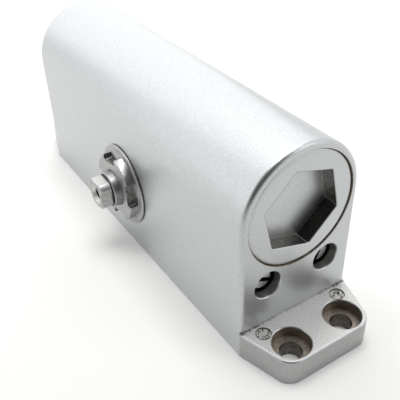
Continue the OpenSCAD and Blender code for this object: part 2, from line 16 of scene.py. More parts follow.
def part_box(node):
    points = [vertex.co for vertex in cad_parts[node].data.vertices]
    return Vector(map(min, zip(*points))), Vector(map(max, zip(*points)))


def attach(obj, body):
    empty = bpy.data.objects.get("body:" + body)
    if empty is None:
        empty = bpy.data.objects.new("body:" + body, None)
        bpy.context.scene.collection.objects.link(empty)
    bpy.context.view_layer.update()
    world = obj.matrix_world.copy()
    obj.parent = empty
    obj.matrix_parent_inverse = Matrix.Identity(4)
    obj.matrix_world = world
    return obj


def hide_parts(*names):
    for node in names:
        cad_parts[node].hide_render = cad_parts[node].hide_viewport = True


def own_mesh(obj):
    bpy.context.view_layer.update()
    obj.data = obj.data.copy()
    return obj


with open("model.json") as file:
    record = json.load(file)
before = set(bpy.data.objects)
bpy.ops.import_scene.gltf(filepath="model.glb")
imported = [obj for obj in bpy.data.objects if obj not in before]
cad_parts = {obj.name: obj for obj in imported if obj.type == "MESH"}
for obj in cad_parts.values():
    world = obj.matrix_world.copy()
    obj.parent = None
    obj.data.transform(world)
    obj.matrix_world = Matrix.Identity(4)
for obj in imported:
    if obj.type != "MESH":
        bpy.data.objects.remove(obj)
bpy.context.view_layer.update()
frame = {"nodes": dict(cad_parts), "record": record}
MM = 0.001
print("nodes:", len(frame["nodes"]))

# %% [markdown]
# ## Sizes read from the frame
# The casting, its plugs and its spindle already have places. Each size below is measured on the
# node that carries it, so a piece that is made from it needs no fitting afterwards.

# %% Measure the nodes
_, body_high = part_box("housing")
plug_low, plug_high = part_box("valve_end_plug")
gland_low, gland_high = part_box("front_gland")
_, spindle_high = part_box("spindle")
valve_low, valve_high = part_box("closing_speed_valve")
HOLES = next(m for m in frame["record"]["mounts"] if m["name"] == "mounting_holes")["dims"]

TIP_X = body_high.x
END_X = plug_high.x
PLUG_IN_X = plug_low.x
SIDE_Y = body_high.y
CROWN_R = SIDE_Y
BORE_Z = (plug_low.z + plug_high.z) / 2
PLUG_R = (plug_high.z - plug_low.z) / 2
SPINDLE_Z = (gland_low.z + gland_high.z) / 2
FLANGE_R = (gland_high.x - gland_low.x) / 2
GLAND_TOP = -gland_low.y
GLAND_IN = -gland_high.y
SPINDLE_END = spindle_high.y
VALVE_Y = -(valve_low.y + valve_high.y) / 2
VALVE_Z = (valve_low.z + valve_high.z) / 2
VALVE_R = (valve_high.z - valve_low.z) / 2
VALVE_FACE = valve_high.x
NECK_LEN = 2 * MM
SHOULDER_X = VALVE_FACE - NECK_LEN
VALVE_TIP = valve_low.x
HOLE_X = HOLES["spacing_x_mm"] / 2 * MM
HOLE_Y = HOLES["spacing_y_mm"] / 2 * MM
HOLE_R = HOLES["hole_r_mm"] * MM
print("mm: end face at", round(END_X / MM, 2), "crown radius", round(CROWN_R / MM, 2),
      "plug radius", round(PLUG_R / MM, 2))

# %% [markdown]
# ## Camera
# The photograph looks down at the corner between the spindle's side and the valves' end. A camera
# could be placed by eye. This one stands where the photograph's straight edges and circles say
# that its camera stood, with the lens that gives the same frame, so shapes can be compared one to
# one.

# %% Place the camera
CAMERA_AT = Vector((163.2, -90.6, 142.6)) * MM
CAMERA_TURN = math.radians(58.206)
CAMERA_TILT = math.radians(35.99)
CAMERA_ROLL = math.radians(-1.914)
LENS_MM = 55.11
CLIP_START = 0.01

camera_data = bpy.data.cameras.new("camera")
camera_data.lens = LENS_MM
camera_data.clip_start = CLIP_START
camera = bpy.data.objects.new("camera", camera_data)
bpy.context.scene.collection.objects.link(camera)
flat = math.cos(CAMERA_TILT)
back = Vector((math.sin(CAMERA_TURN) * flat, -math.cos(CAMERA_TURN) * flat, math.sin(CAMERA_TILT)))
level_right = Vector((0, 0, 1)).cross(back).normalized()
level_up = back.cross(level_right)
right = math.cos(CAMERA_ROLL) * level_right + math.sin(CAMERA_ROLL) * level_up
up = math.cos(CAMERA_ROLL) * level_up - math.sin(CAMERA_ROLL) * level_right
camera_axes = Matrix((right, up, back)).transposed().to_4x4()
camera.matrix_world = Matrix.Translation(CAMERA_AT) @ camera_axes
bpy.context.scene.camera = camera
bpy.context.scene.view_settings.view_transform = "Standard"
print("camera at", [round(v / MM, 1) for v in camera.location])

# %% [markdown]
# ## Working by hand, in code
# Edit-mode tools act on what is selected. By hand one clicks the faces; here each step first
# clears the selection and then picks its faces or edges by their place, which gives the same
# result every time. These few helpers do only that.

# %% Selection helpers
TINY = 1e-5


def object_mode():
    """Leaves edit mode."""
    bpy.ops.object.mode_set(mode="OBJECT")


def edit_all():
    """Goes into edit mode with everything of the active piece selected."""
    bpy.ops.object.mode_set(mode="EDIT")
    bpy.ops.mesh.select_all(action="SELECT")


def clear_selection():
    """Nothing stays selected, so the next tool touches only what it is given."""
    if bpy.context.object and bpy.context.object.mode != "OBJECT":
        object_mode()
    bpy.ops.object.select_all(action="DESELECT")


def take(piece):
    """Makes one piece the selected and active one."""
    clear_selection()
    piece.select_set(True)
    bpy.context.view_layer.objects.active = piece


def pick(piece, kind, test):
    """In edit mode, selects the faces or edges whose centre and element pass the test."""
    bpy.ops.mesh.select_all(action="DESELECT")
    bpy.ops.mesh.select_mode(type=kind)
    mesh = bmesh.from_edit_mesh(piece.data)
    found = 0
    for item in mesh.faces if kind == "FACE" else mesh.edges:
        middle = sum((v.co for v in item.verts), Vector()) / len(item.verts)
        if test(middle, item):
            item.select_set(True)
            found += 1
    mesh.select_flush_mode()
    bmesh.update_edit_mesh(piece.data)
    return found


print("selection helpers ready")

# %% Piece helpers
def named(name):
    """Names the new primitive and sinks its place into its mesh."""
    piece = bpy.context.object
    piece.name = name
    piece.data.name = name
    bpy.ops.object.transform_apply(location=True, rotation=True, scale=True)
    return piece


def apply_modifier(piece, kind, **settings):
    """Adds one modifier with its settings and applies it at once."""
    take(piece)
    modifier = piece.modifiers.new(kind.lower(), kind)
    for key, value in settings.items():
        setattr(modifier, key, value)
    bpy.ops.object.modifier_apply(modifier=modifier.name)


def carve(piece, tool, operation="DIFFERENCE"):
    """Cuts the tool out of the piece, or joins it on, and throws the tool away."""
    apply_modifier(piece, "BOOLEAN", operation=operation, object=tool, solver="EXACT")
    bpy.data.objects.remove(tool, do_unlink=True)


def join(name, pieces):
    """Joins separate pieces or cutters into one."""
    take(pieces[0])
    for other in pieces[1:]:
        other.select_set(True)
    bpy.ops.object.join()
    pieces[0].name = name
    return pieces[0]


print("piece helpers ready")

# %% [markdown]
# ## Turned pieces
# Plugs, glands, the spindle and every bored hole come off a lathe. A stack of cylinders could
# give their steps but not their grooves and chamfers. On a lathe the tool follows an outline
# while the work turns, and Spin does the same: one vertex is extruded along the outline, and the
# outline is spun once round its axis.

# %% A lathe made of extrude and spin
AXES = {"X": Vector((1, 0, 0)), "Y": Vector((0, 1, 0)), "Z": Vector((0, 0, 1))}
ACROSS = {"X": Vector((0, 1, 0)), "Y": Vector((0, 0, 1)), "Z": Vector((1, 0, 0))}
STEPS = 96
LARGE_STEPS = 128
SMALL_STEPS = 64


def turned(name, outline, axis, at=(0, 0, 0), steps=STEPS):
    """A turned solid from (radius, place along the axis) points. It starts and ends on the axis,
    or comes back to its first point where it is a ring."""
    at = Vector(at)
    along, out = AXES[axis], ACROSS[axis]
    points = [at + along * place + out * radius for radius, place in outline]
    closed = outline[0][0] > 0
    clear_selection()
    bpy.ops.mesh.primitive_plane_add(size=MM, location=points[0])
    piece = named(name)
    edit_all()
    bpy.ops.mesh.select_mode(type="VERT")
    bpy.ops.mesh.select_all(action="SELECT")
    bpy.ops.mesh.merge(type="CENTER")
    for here, there in zip(points, points[1:] + points[:1] * closed):
        bpy.ops.mesh.extrude_region_move(TRANSFORM_OT_translate={"value": there - here})
    bpy.ops.mesh.select_all(action="SELECT")
    bpy.ops.mesh.remove_doubles(threshold=TINY / 10)
    bpy.ops.mesh.spin(steps=steps, angle=2 * math.pi, center=at, axis=along)
    bpy.ops.mesh.select_all(action="SELECT")
    bpy.ops.mesh.remove_doubles(threshold=TINY / 10)
    bpy.ops.mesh.normals_make_consistent(inside=False)
    object_mode()
    return piece


print("steps round a turned piece:", SMALL_STEPS, STEPS, LARGE_STEPS)

# %% [markdown]
# ## Boxes and broken edges
# A file, a tumbler or the die itself breaks every edge of the real pieces, and that thin bright
# line is what the eye takes for metal. Each edge could be bevelled on its own. The Bevel modifier
# finds all the sharp ones by their angle, and weighted normals keep the flat faces flat beside
# them.

# %% Box, bevel and shading helpers
MERGE_WITHIN = 0.01 * MM
FLAT_ANGLE = math.radians(0.5)
SHARP_ANGLE = math.radians(35)
SMOOTH_ANGLE = math.radians(32)
BREAK_STEPS = 2
FACE_WEIGHT = 80


def block(name, low, high):
    """A box between two corners, as the start of a piece or a cutter."""
    low, high = Vector(low), Vector(high)
    clear_selection()
    bpy.ops.mesh.primitive_cube_add(size=1, location=(low + high) / 2, scale=high - low)
    return named(name)


def bevel_picked(width, steps):
    """Rounds the edges that are picked now."""
    bpy.ops.mesh.bevel(offset_type="OFFSET", offset=width, segments=steps, profile=0.5,
                       affect="EDGES", clamp_overlap=True)


def soften(piece, width):
    """Breaks the sharp edges to a width, unless it is 0, and shades the rest smooth."""
    take(piece)
    edit_all()
    bpy.ops.mesh.remove_doubles(threshold=MERGE_WITHIN)
    bpy.ops.mesh.dissolve_limited(angle_limit=FLAT_ANGLE)
    object_mode()
    if width:
        apply_modifier(piece, "BEVEL", width=width, segments=BREAK_STEPS, limit_method="ANGLE",
                       angle_limit=SHARP_ANGLE, use_clamp_overlap=False, miter_outer="MITER_ARC")
    take(piece)
    bpy.ops.object.shade_smooth_by_angle(angle=SMOOTH_ANGLE)
    apply_modifier(piece, "WEIGHTED_NORMAL", keep_sharp=True, weight=FACE_WEIGHT)
    print(piece.name, "faces:", len(piece.data.polygons))


print("edges sharper than", round(math.degrees(SHARP_ANGLE)), "degrees get broken")

# %% [markdown]
# ## The casting
# The housing is one aluminium die casting: straight sides under a half-round crown. It could be
# an outline pushed along X. A cylinder is nearer to the real form: it lies down, loses its lower
# half, and its flat underside is pulled down to the base. The edges round the two end faces are
# then rounded, as the die has them.

# %% Pull the body out of a cylinder
EDGE_R = 1.5 * MM
EDGE_STEPS = 5
FACING = 0.9

clear_selection()
bpy.ops.mesh.primitive_cylinder_add(vertices=LARGE_STEPS, radius=CROWN_R, depth=2 * END_X,
                                    location=(0, 0, BORE_Z), rotation=(0, math.pi / 2, 0))
housing = named("painted_housing")
edit_all()
bpy.ops.mesh.bisect(plane_co=(0, 0, BORE_Z), plane_no=(0, 0, 1), use_fill=True, clear_inner=True)
pick(housing, "FACE", lambda c, f: abs(f.normal.z) > FACING and abs(c.z - BORE_Z) < TINY)
bpy.ops.mesh.extrude_region_move(TRANSFORM_OT_translate={"value": (0, 0, -BORE_Z)})
bpy.ops.mesh.select_all(action="SELECT")
bpy.ops.mesh.normals_make_consistent(inside=False)
bpy.ops.mesh.dissolve_limited(angle_limit=FLAT_ANGLE)


def on_end_rim(centre, edge):
    """Edges round an end face, without the one that lies on the base."""
    return abs(abs(centre.x) - END_X) < TINY and centre.z > TINY


rims = pick(housing, "EDGE", on_end_rim)
bevel_picked(EDGE_R, EDGE_STEPS)
object_mode()
print("rounded", rims, "rim edges to", EDGE_R / MM, "mm")

# %% [markdown]
# ## The feet
# A foot is a thick plate, cast with the body, that narrows to its tip. It could be drawn as a
# flat outline and thickened. It starts as a box that reaches a little into the body instead,
# because each later step is then one tool: a cut across gives the taper a place to begin, the tip
# is drawn in, its corners are rounded, and last its top edge.

# %% Shape one foot
FOOT_T = 9 * MM
FOOT_TIP_Y = 15 * MM
FOOT_CORNER_R = 3.8 * MM
FOOT_CORNER_STEPS = 8
FOOT_EDGE_R = 0.6 * MM
FOOT_EDGE_STEPS = 4
SIDEWAYS = 0.5

foot = block("foot", (END_X - EDGE_R, -SIDE_Y, 0), (TIP_X, SIDE_Y, FOOT_T))
edit_all()
bpy.ops.mesh.bisect(plane_co=(END_X, 0, 0), plane_no=(1, 0, 0))
pick(foot, "FACE", lambda c, f: f.normal.x > FACING)
bpy.ops.transform.resize(value=(1, FOOT_TIP_Y / SIDE_Y, 1), center_override=(TIP_X, 0, 0))
pick(foot, "EDGE", lambda c, e: c.x > TIP_X - TINY and abs(abs(c.y) - FOOT_TIP_Y) < TINY)
bevel_picked(FOOT_CORNER_R, FOOT_CORNER_STEPS)
pick(foot, "EDGE", lambda c, e: c.z > FOOT_T - TINY and c.x > END_X + TINY
     and any(abs(f.normal.z) < SIDEWAYS for f in e.link_faces))
bevel_picked(FOOT_EDGE_R, FOOT_EDGE_STEPS)
object_mode()
print("foot faces:", len(foot.data.polygons))

# %% Copy the foot to the other end and join both on
take(foot)
bpy.ops.object.duplicate()
far_foot = bpy.context.object
edit_all()
bpy.ops.transform.rotate(value=math.pi, orient_axis="Z", center_override=(0, 0, 0))
object_mode()
carve(housing, foot, "UNION")
carve(housing, far_foot, "UNION")
print("feet joined, faces:", len(housing.data.polygons))

# %% [markdown]
# ## The two bores
# The casting is bored along its length for the piston and across for the spindle, and both bores
# open wider for the plugs and glands. A bore could be a plain cylinder cut out of the body. Each
# is cut by one turned tool with all its steps and a small chamfer at its mouth instead, because a
# broken edge is what makes a machined hole look machined.

# %% Bore the body lengthwise and across
BORE_R = 17 * MM
PLUG_HOLE_R = PLUG_R + 0.05 * MM
MOUTH = 0.25 * MM
BORE_LIP = 0.2 * MM
OVER = 1 * MM
CROSS_R = 9.6 * MM
GLAND_HOLE_R = 11.5 * MM


def mouth(radius, end, lip=MOUTH):
    """The last points of a cutter that leaves a chamfer where it comes out at end."""
    side = math.copysign(1, end)
    return [(radius, end - side * lip), (radius + lip, end), (radius + lip, end + side * OVER),
            (0, end + side * OVER)]


main_tool = turned("main_tool", list(reversed(mouth(PLUG_HOLE_R, -END_X, BORE_LIP)))
                   + [(PLUG_HOLE_R, -PLUG_IN_X), (BORE_R, -PLUG_IN_X), (BORE_R, PLUG_IN_X),
                      (PLUG_HOLE_R, PLUG_IN_X)] + mouth(PLUG_HOLE_R, END_X, BORE_LIP),
                   "X", (0, 0, BORE_Z), LARGE_STEPS)
carve(housing, main_tool)
cross_tool = turned("cross_tool", list(reversed(mouth(GLAND_HOLE_R, -SIDE_Y)))
                    + [(GLAND_HOLE_R, -GLAND_IN), (CROSS_R, -GLAND_IN), (CROSS_R, GLAND_IN),
                       (GLAND_HOLE_R, GLAND_IN)] + mouth(GLAND_HOLE_R, SIDE_Y),
                    "Y", (0, 0, SPINDLE_Z))
carve(housing, cross_tool)
print("bored, faces:", len(housing.data.polygons))

# %% [markdown]
# ## Holes for the speed valves
# Under the plug, each speed valve sits in a stepped hole: a wide recess for the screwdriver, the
# valve's own bore, and the oil passage behind it. Three cutters could do it, but a step drill
# makes it in one pass, and so does one turned tool. It tapers a hair where the painted shade
# begins, so that the lit wall and the shaded one are different faces.

# %% Drill the valves' holes
ACCESS_R = 4.5 * MM
ACCESS_DEEPER = 0.5 * MM
RECESS_SHADE_TAPER = 0.1 * MM
VALVE_HOLE_R = 4 * MM
VALVE_SEAT_X = 42 * MM
PASSAGE_R = 1.5 * MM

valve_tools = [turned("valve_tool", [(0, 0), (PASSAGE_R, 0), (PASSAGE_R, VALVE_SEAT_X),
                                     (VALVE_HOLE_R, VALVE_SEAT_X),
                                     (VALVE_HOLE_R, SHOULDER_X - ACCESS_DEEPER),
                                     (ACCESS_R - RECESS_SHADE_TAPER, SHOULDER_X - ACCESS_DEEPER),
                                     (ACCESS_R, VALVE_FACE)] + mouth(ACCESS_R, END_X),
                      "X", (0, y, VALVE_Z), SMALL_STEPS) for y in (-VALVE_Y, VALVE_Y)]
carve(housing, join("valve_tools", valve_tools))
print("valve holes drilled, faces:", len(housing.data.polygons))

# %% [markdown]
# ## Screw holes and ejector marks
# Each foot has two counterbored screw holes. Beside them lie two shallow round marks, where pins
# push the hot casting out of its die, with a ring of flash round each. The marks could be painted
# on as a pattern, but they catch the light, so they are cut: a shallow floor and a deeper groove
# round it. One turned tool does a hole, one does a mark, and each is made again at the four
# places.

# %% Cut the screw holes and the marks
CBORE_R = 5.7 * MM
CBORE_Z = 5.5 * MM
CBORE_BREAK = 0.15 * MM
MARK_R = 2.4 * MM
MARK_DEPTH = 0.175 * MM
FLASH_W = 0.4 * MM
FLASH_DEPTH = 0.65 * MM
MARK_X = END_X + 3.3 * MM
MARK_Y = 14 * MM
MARK_STEPS = 48

foot_tools = []
mark_tools = []
for x in (-HOLE_X, HOLE_X):
    for y in (-HOLE_Y, HOLE_Y):
        foot_tools.append(turned("screw_hole", [
            (0, -OVER), (HOLE_R + MOUTH, -OVER), (HOLE_R + MOUTH, 0), (HOLE_R, MOUTH),
            (HOLE_R, CBORE_Z - CBORE_BREAK), (HOLE_R + CBORE_BREAK, CBORE_Z),
            (CBORE_R, CBORE_Z)] + mouth(CBORE_R, FOOT_T), "Z", (x, y, 0), SMALL_STEPS))
        mark_tools.append(turned("mark", [
            (0, FOOT_T - MARK_DEPTH), (MARK_R - FLASH_W, FOOT_T - MARK_DEPTH),
            (MARK_R - FLASH_W, FOOT_T - FLASH_DEPTH), (MARK_R, FOOT_T - FLASH_DEPTH),
            (MARK_R, FOOT_T + OVER), (0, FOOT_T + OVER)],
            "Z", (math.copysign(MARK_X, x), math.copysign(MARK_Y, y), 0), MARK_STEPS))
carve(housing, join("foot_tools", foot_tools))
carve(housing, join("mark_tools", mark_tools))
print("feet drilled, faces:", len(housing.data.polygons))

# %% [markdown]
# ## Ports in the base
# Two ports are drilled up from the base into the oil passages and closed with pressed pins.
# Nobody sees more than the pins' ends, but without the ports the pins would sit inside solid
# metal. The pins' node gives the places, so the same turned tool is made at both.

# %% Drill the two ports
port_low, port_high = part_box("passage_plugs")
PORT_PLUG_R = 2 * MM
PORT_TOP = BORE_Z - BORE_R + 4 * MM
PORT_STEPS = 32

port_tools = [turned("port", [
    (0, -OVER), (PORT_PLUG_R + MOUTH, -OVER), (PORT_PLUG_R + MOUTH, 0), (PORT_PLUG_R, MOUTH),
    (PORT_PLUG_R, port_high.z), (PASSAGE_R, port_high.z), (PASSAGE_R, PORT_TOP), (0, PORT_TOP)],
    "Z", (x, y, 0), PORT_STEPS)
    for x, y in ((port_low.x + PORT_PLUG_R, -VALVE_Y), (port_high.x - PORT_PLUG_R, VALVE_Y))]
carve(housing, join("ports", port_tools))
soften(housing, 0)

# %% [markdown]
# ## End plugs
# Each end of the bore is closed by a screwed plug, painted with the casting. It is turned with a
# sloping rim and a groove for its sealing ring. The sloping rim leaves the thin dark line that
# the photograph shows round the plug, which a plug flush with the body would not.

# %% Turn a plug
RIM_W = 1.2 * MM
RIM_DROP = 0.5 * MM
LINE_W = 0.15 * MM
RING_GROOVE = (PLUG_IN_X + 0.6 * MM, PLUG_IN_X + 2.1 * MM)
GROOVE_DEPTH = 1.2 * MM

plug = turned("valve_end_cap", [(0, PLUG_IN_X), (PLUG_R, PLUG_IN_X), (PLUG_R, RING_GROOVE[0]),
                                (PLUG_R - GROOVE_DEPTH, RING_GROOVE[0]),
                                (PLUG_R - GROOVE_DEPTH, RING_GROOVE[1]), (PLUG_R, RING_GROOVE[1]),
                                (PLUG_R, END_X - RIM_DROP - LINE_W),
                                (PLUG_R - LINE_W, END_X - RIM_DROP), (PLUG_R - RIM_W, END_X),
                                (0, END_X)], "X", (0, 0, BORE_Z), LARGE_STEPS)
print("plug faces:", len(plug.data.polygons))

# %% [markdown]
# ## The socket and the far plug
# A hexagon key turns the plug, in a socket 23 mm across the flats. Inset and extrude would need a
# hexagon in the plug's face first, so a six-sided cylinder is cut out instead. Its long edges are
# rounded before the cut, as a broach has them, and the socket's mouth is broken after it. The far
# plug is a mirrored copy. Mirroring turns a mesh inside out, so its normals are recalculated.

# %% Cut the socket
SOCKET_AF = 23 * MM
SOCKET_R = SOCKET_AF / 2 / math.cos(math.pi / 6)
SOCKET_DEPTH = 4.8 * MM
SOCKET_TURN = math.radians(43.5)
SOCKET_CORNER_R = 0.5 * MM
SOCKET_CORNER_STEPS = 3
SOCKET_BREAK = 0.35 * MM

clear_selection()
bpy.ops.mesh.primitive_cylinder_add(vertices=6, radius=SOCKET_R, depth=SOCKET_DEPTH + OVER)
bpy.context.object.matrix_world = (
    Matrix.Translation((END_X + (OVER - SOCKET_DEPTH) / 2, 0, BORE_Z))
    @ Matrix.Rotation(SOCKET_TURN, 4, "X") @ Matrix.Rotation(math.pi / 2, 4, "Y"))
socket = named("socket")
edit_all()
pick(socket, "EDGE", lambda c, e: abs(e.verts[0].co.x - e.verts[1].co.x) > SOCKET_DEPTH)
bevel_picked(SOCKET_CORNER_R, SOCKET_CORNER_STEPS)
object_mode()
carve(plug, socket)


def on_socket_mouth(centre, edge):
    """Edges between the socket's walls and the plug's face."""
    return all(abs(v.co.x - END_X) < TINY and math.hypot(v.co.y, v.co.z - BORE_Z) < SOCKET_R + TINY
               for v in edge.verts)


take(plug)
edit_all()
mouth_edges = pick(plug, "EDGE", on_socket_mouth)
bevel_picked(SOCKET_BREAK, BREAK_STEPS)
object_mode()
print("broke", mouth_edges, "edges of the socket's mouth")

# %% Soften the plug and mirror it to the far end
PLUG_BREAK = 0.18 * MM


def mirrored(piece, name, factors):
    """A mirrored copy with its own mesh, its faces turned outwards again."""
    take(piece)
    bpy.ops.object.duplicate()
    copy = bpy.context.object
    copy.scale = factors
    named(name)
    edit_all()
    bpy.ops.mesh.normals_make_consistent(inside=False)
    object_mode()
    return copy


soften(plug, PLUG_BREAK)
far_plug = mirrored(plug, "spring_end_cap", (-1, 1, 1))

# %% [markdown]
# ## Glands
# A gland is a threaded cap that holds the spindle's bearing and seal: a thin flange lies on the
# casting, and a crown stands on it. A disc could be turned and bored afterwards. Here the outline
# goes round outside and inside and comes back to its first point, so Spin makes the ring at once.

# %% Turn a gland
shell_low, shell_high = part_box("rear_bearing_shell")
seal_low, seal_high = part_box("rear_shaft_seal")
FIT = 0.05 * MM
SHELL_HOLE_R = (shell_high.x - shell_low.x) / 2 + FIT
SEAL_HOLE_R = (seal_high.x - seal_low.x) / 2 + FIT
JOURNAL_R = 6.2 * MM
LIP_R = JOURNAL_R + FIT
GLAND_THREAD_R = GLAND_HOLE_R - FIT
FLANGE_TOP = SIDE_Y + 0.9 * MM
CROWN_TOP_R = 12 * MM
BREAK = 0.3 * MM
UNDERCUT = 0.25 * MM

gland = turned("rear_spanner_gland", [
    (SHELL_HOLE_R, GLAND_IN), (GLAND_THREAD_R, GLAND_IN), (GLAND_THREAD_R, SIDE_Y),
    (FLANGE_R - UNDERCUT, SIDE_Y), (FLANGE_R, SIDE_Y + UNDERCUT),
    (FLANGE_R, FLANGE_TOP - BREAK), (FLANGE_R - BREAK, FLANGE_TOP), (CROWN_TOP_R, FLANGE_TOP),
    (CROWN_TOP_R, GLAND_TOP - BREAK), (CROWN_TOP_R - BREAK, GLAND_TOP),
    (LIP_R + BREAK, GLAND_TOP), (LIP_R, GLAND_TOP - BREAK), (LIP_R, seal_high.y + FIT),
    (SEAL_HOLE_R, seal_high.y + FIT), (SEAL_HOLE_R, shell_high.y + FIT),
    (SHELL_HOLE_R, shell_high.y + FIT)], "Y", (0, 0, SPINDLE_Z))
print("gland faces:", len(gland.data.polygons))

# %% [markdown]
# ## Notches and the punched dot
# Four notches in the crown take a hook spanner, and a small punched dot marks its face. A notch
# is milled, so its cutter is a box with its two inner edges rounded like the mill's corner. It is
# made once for each quarter turn round the spindle's axis, and the four are cut together.

# %% Mill the notches and punch the dot
NOTCH_FLOOR = 9.2 * MM
NOTCH_W = 8 * MM
NOTCH_TURN = 10
NOTCH_CORNER_R = 0.9 * MM
NOTCH_CORNER_STEPS = 4
NOTCH_LAND = 0.1 * MM
DOT_TURN = math.radians(-101)
DOT_AT = 10.9 * MM
DOT_DEPTH = 0.3 * MM
DOT_FLOOR_R = 0.2 * MM
DOT_R = 0.55 * MM
DOT_OVER = 0.05 * MM
DOT_STEPS = 24
GLAND_BREAK = 0.16 * MM

notches = []
for quarter in range(4):
    notch = block("notch", (NOTCH_FLOOR, FLANGE_TOP + NOTCH_LAND, -NOTCH_W / 2),
                  (FLANGE_R, GLAND_TOP + OVER, NOTCH_W / 2))
    edit_all()
    pick(notch, "EDGE", lambda c, e: abs(c.x - NOTCH_FLOOR) < TINY
         and abs(e.verts[0].co.y - e.verts[1].co.y) > TINY)
    bevel_picked(NOTCH_CORNER_R, NOTCH_CORNER_STEPS)
    object_mode()
    notch.matrix_world = (Matrix.Translation((0, 0, SPINDLE_Z))
                          @ Matrix.Rotation(-math.radians(NOTCH_TURN + 90 * quarter), 4, "Y"))
    bpy.ops.object.transform_apply(location=True, rotation=True, scale=True)
    notches.append(notch)
carve(gland, join("notches", notches))
dot = turned("dot", [(0, GLAND_TOP - DOT_DEPTH), (DOT_FLOOR_R, GLAND_TOP - DOT_DEPTH),
                     (DOT_R, GLAND_TOP + DOT_OVER), (0, GLAND_TOP + DOT_OVER)], "Y",
             (DOT_AT * math.cos(DOT_TURN), 0, SPINDLE_Z + DOT_AT * math.sin(DOT_TURN)), DOT_STEPS)
carve(gland, dot)
soften(gland, GLAND_BREAK)
front_gland = mirrored(gland, "front_spanner_gland", (1, -1, 1))

# %% [markdown]
# ## Spindle and its squares
# The spindle is one piece of steel from end to end: pinion, collars, journals and two squares.
# The square takes the arm. A box alone would have sharp corners, but the real ones were turned
# first and milled after, so the box is kept only where it lies inside a turned blank.

# %% Turn the spindle and add its squares
washer_low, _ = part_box("rear_thrust_washer")
PINION_Y = 8.6 * MM
COLLAR_R = 8.8 * MM
COLLAR_Y = washer_low.y - FIT
ROOT_R = 6.21 * MM
NECK_TOP = GLAND_TOP + 2.6 * MM
NECK_GROOVE = 0.35 * MM
NECK_GROOVE_R = JOURNAL_R - 1 * MM
SQUARE = 9.2 * MM
SQUARE_CORNER_R = 5.6 * MM
END_CHAMFER = 0.5 * MM
END_FACE_R = 4.5 * MM

half = [(ROOT_R, 0), (ROOT_R, PINION_Y), (COLLAR_R, PINION_Y), (COLLAR_R, COLLAR_Y),
        (JOURNAL_R, COLLAR_Y), (JOURNAL_R, NECK_TOP - BREAK), (JOURNAL_R - BREAK, NECK_TOP),
        (NECK_GROOVE_R, NECK_TOP), (NECK_GROOVE_R, NECK_TOP + NECK_GROOVE + TINY),
        (0, NECK_TOP + NECK_GROOVE + TINY)]
spindle = turned("pinion_shaft", [(r, -y) for r, y in reversed(half[1:])] + half[1:], "Y",
                 (0, 0, SPINDLE_Z))
for side in (-1, 1):
    reach = sorted((side * (NECK_TOP + NECK_GROOVE), side * SPINDLE_END))
    square = block("square", (-SQUARE / 2, reach[0], SPINDLE_Z - SQUARE / 2),
                   (SQUARE / 2, reach[1], SPINDLE_Z + SQUARE / 2))
    blank = turned("blank", [(0, side * (NECK_TOP - OVER)),
                             (SQUARE_CORNER_R, side * (NECK_TOP - OVER)),
                             (SQUARE_CORNER_R, side * (SPINDLE_END - END_CHAMFER)),
                             (END_FACE_R, side * SPINDLE_END),
                             (END_FACE_R, side * (SPINDLE_END + OVER)),
                             (0, side * (SPINDLE_END + OVER))], "Y", (0, 0, SPINDLE_Z))
    carve(square, blank, "INTERSECT")
    carve(spindle, square, "UNION")
print("spindle faces:", len(spindle.data.polygons))

# %% [markdown]
# ## Pinion teeth
# Twelve teeth roll on the piston's rack. The CAD node has true flanks, and here the teeth show
# only where the body is cut open, so each is a box cut at the pitch line and drawn in at its tip.
# One tooth is modelled, copied round the axis and joined on.

# %% Cut one tooth and copy it round
PITCH_R = 7.8 * MM
PINION_TIP_R = 9 * MM
TEETH = 12
TOOTH_HALF = 0.95 * MM
TOOTH_ROOTED = 0.3 * MM
TOOTH_TIP_SHARE = 0.3

tooth = block("tooth", (-TOOTH_HALF, -PINION_Y, SPINDLE_Z + ROOT_R - TOOTH_ROOTED),
              (TOOTH_HALF, PINION_Y, SPINDLE_Z + PINION_TIP_R))
edit_all()
bpy.ops.mesh.bisect(plane_co=(0, 0, SPINDLE_Z + PITCH_R), plane_no=(0, 0, 1))
pick(tooth, "FACE", lambda c, f: f.normal.z > FACING)
bpy.ops.transform.resize(value=(TOOTH_TIP_SHARE, 1, 1), center_override=(0, 0, SPINDLE_Z))
object_mode()
for number in range(TEETH):
    take(tooth)
    bpy.ops.object.duplicate()
    copy = bpy.context.object
    copy.matrix_world = (Matrix.Translation((0, 0, SPINDLE_Z))
                         @ Matrix.Rotation(2 * math.pi * number / TEETH, 4, "Y")
                         @ Matrix.Translation((0, 0, -SPINDLE_Z)))
    bpy.ops.object.transform_apply(location=True, rotation=True, scale=True)
    carve(spindle, copy, "UNION")
bpy.data.objects.remove(tooth, do_unlink=True)
print("teeth:", TEETH, "spindle faces:", len(spindle.data.polygons))

# %% [markdown]
# ## Tapped holes
# The arm's screw goes into the spindle's end. A real thread is a helix, but down a dark hole only
# its rings are seen, so the cutter is turned from an outline that zigzags, below a countersink.

# %% Tap both ends
THREAD_R = 2.5 * MM
THREAD_DEPTH = 0.45 * MM
THREAD_PITCH = 1 * MM
THREAD_TURNS = 11
COUNTERSINK_R = 3.5 * MM
COUNTERSINK = 1.2 * MM
TAP_STEPS = 48
SPINDLE_BREAK = 0.05 * MM

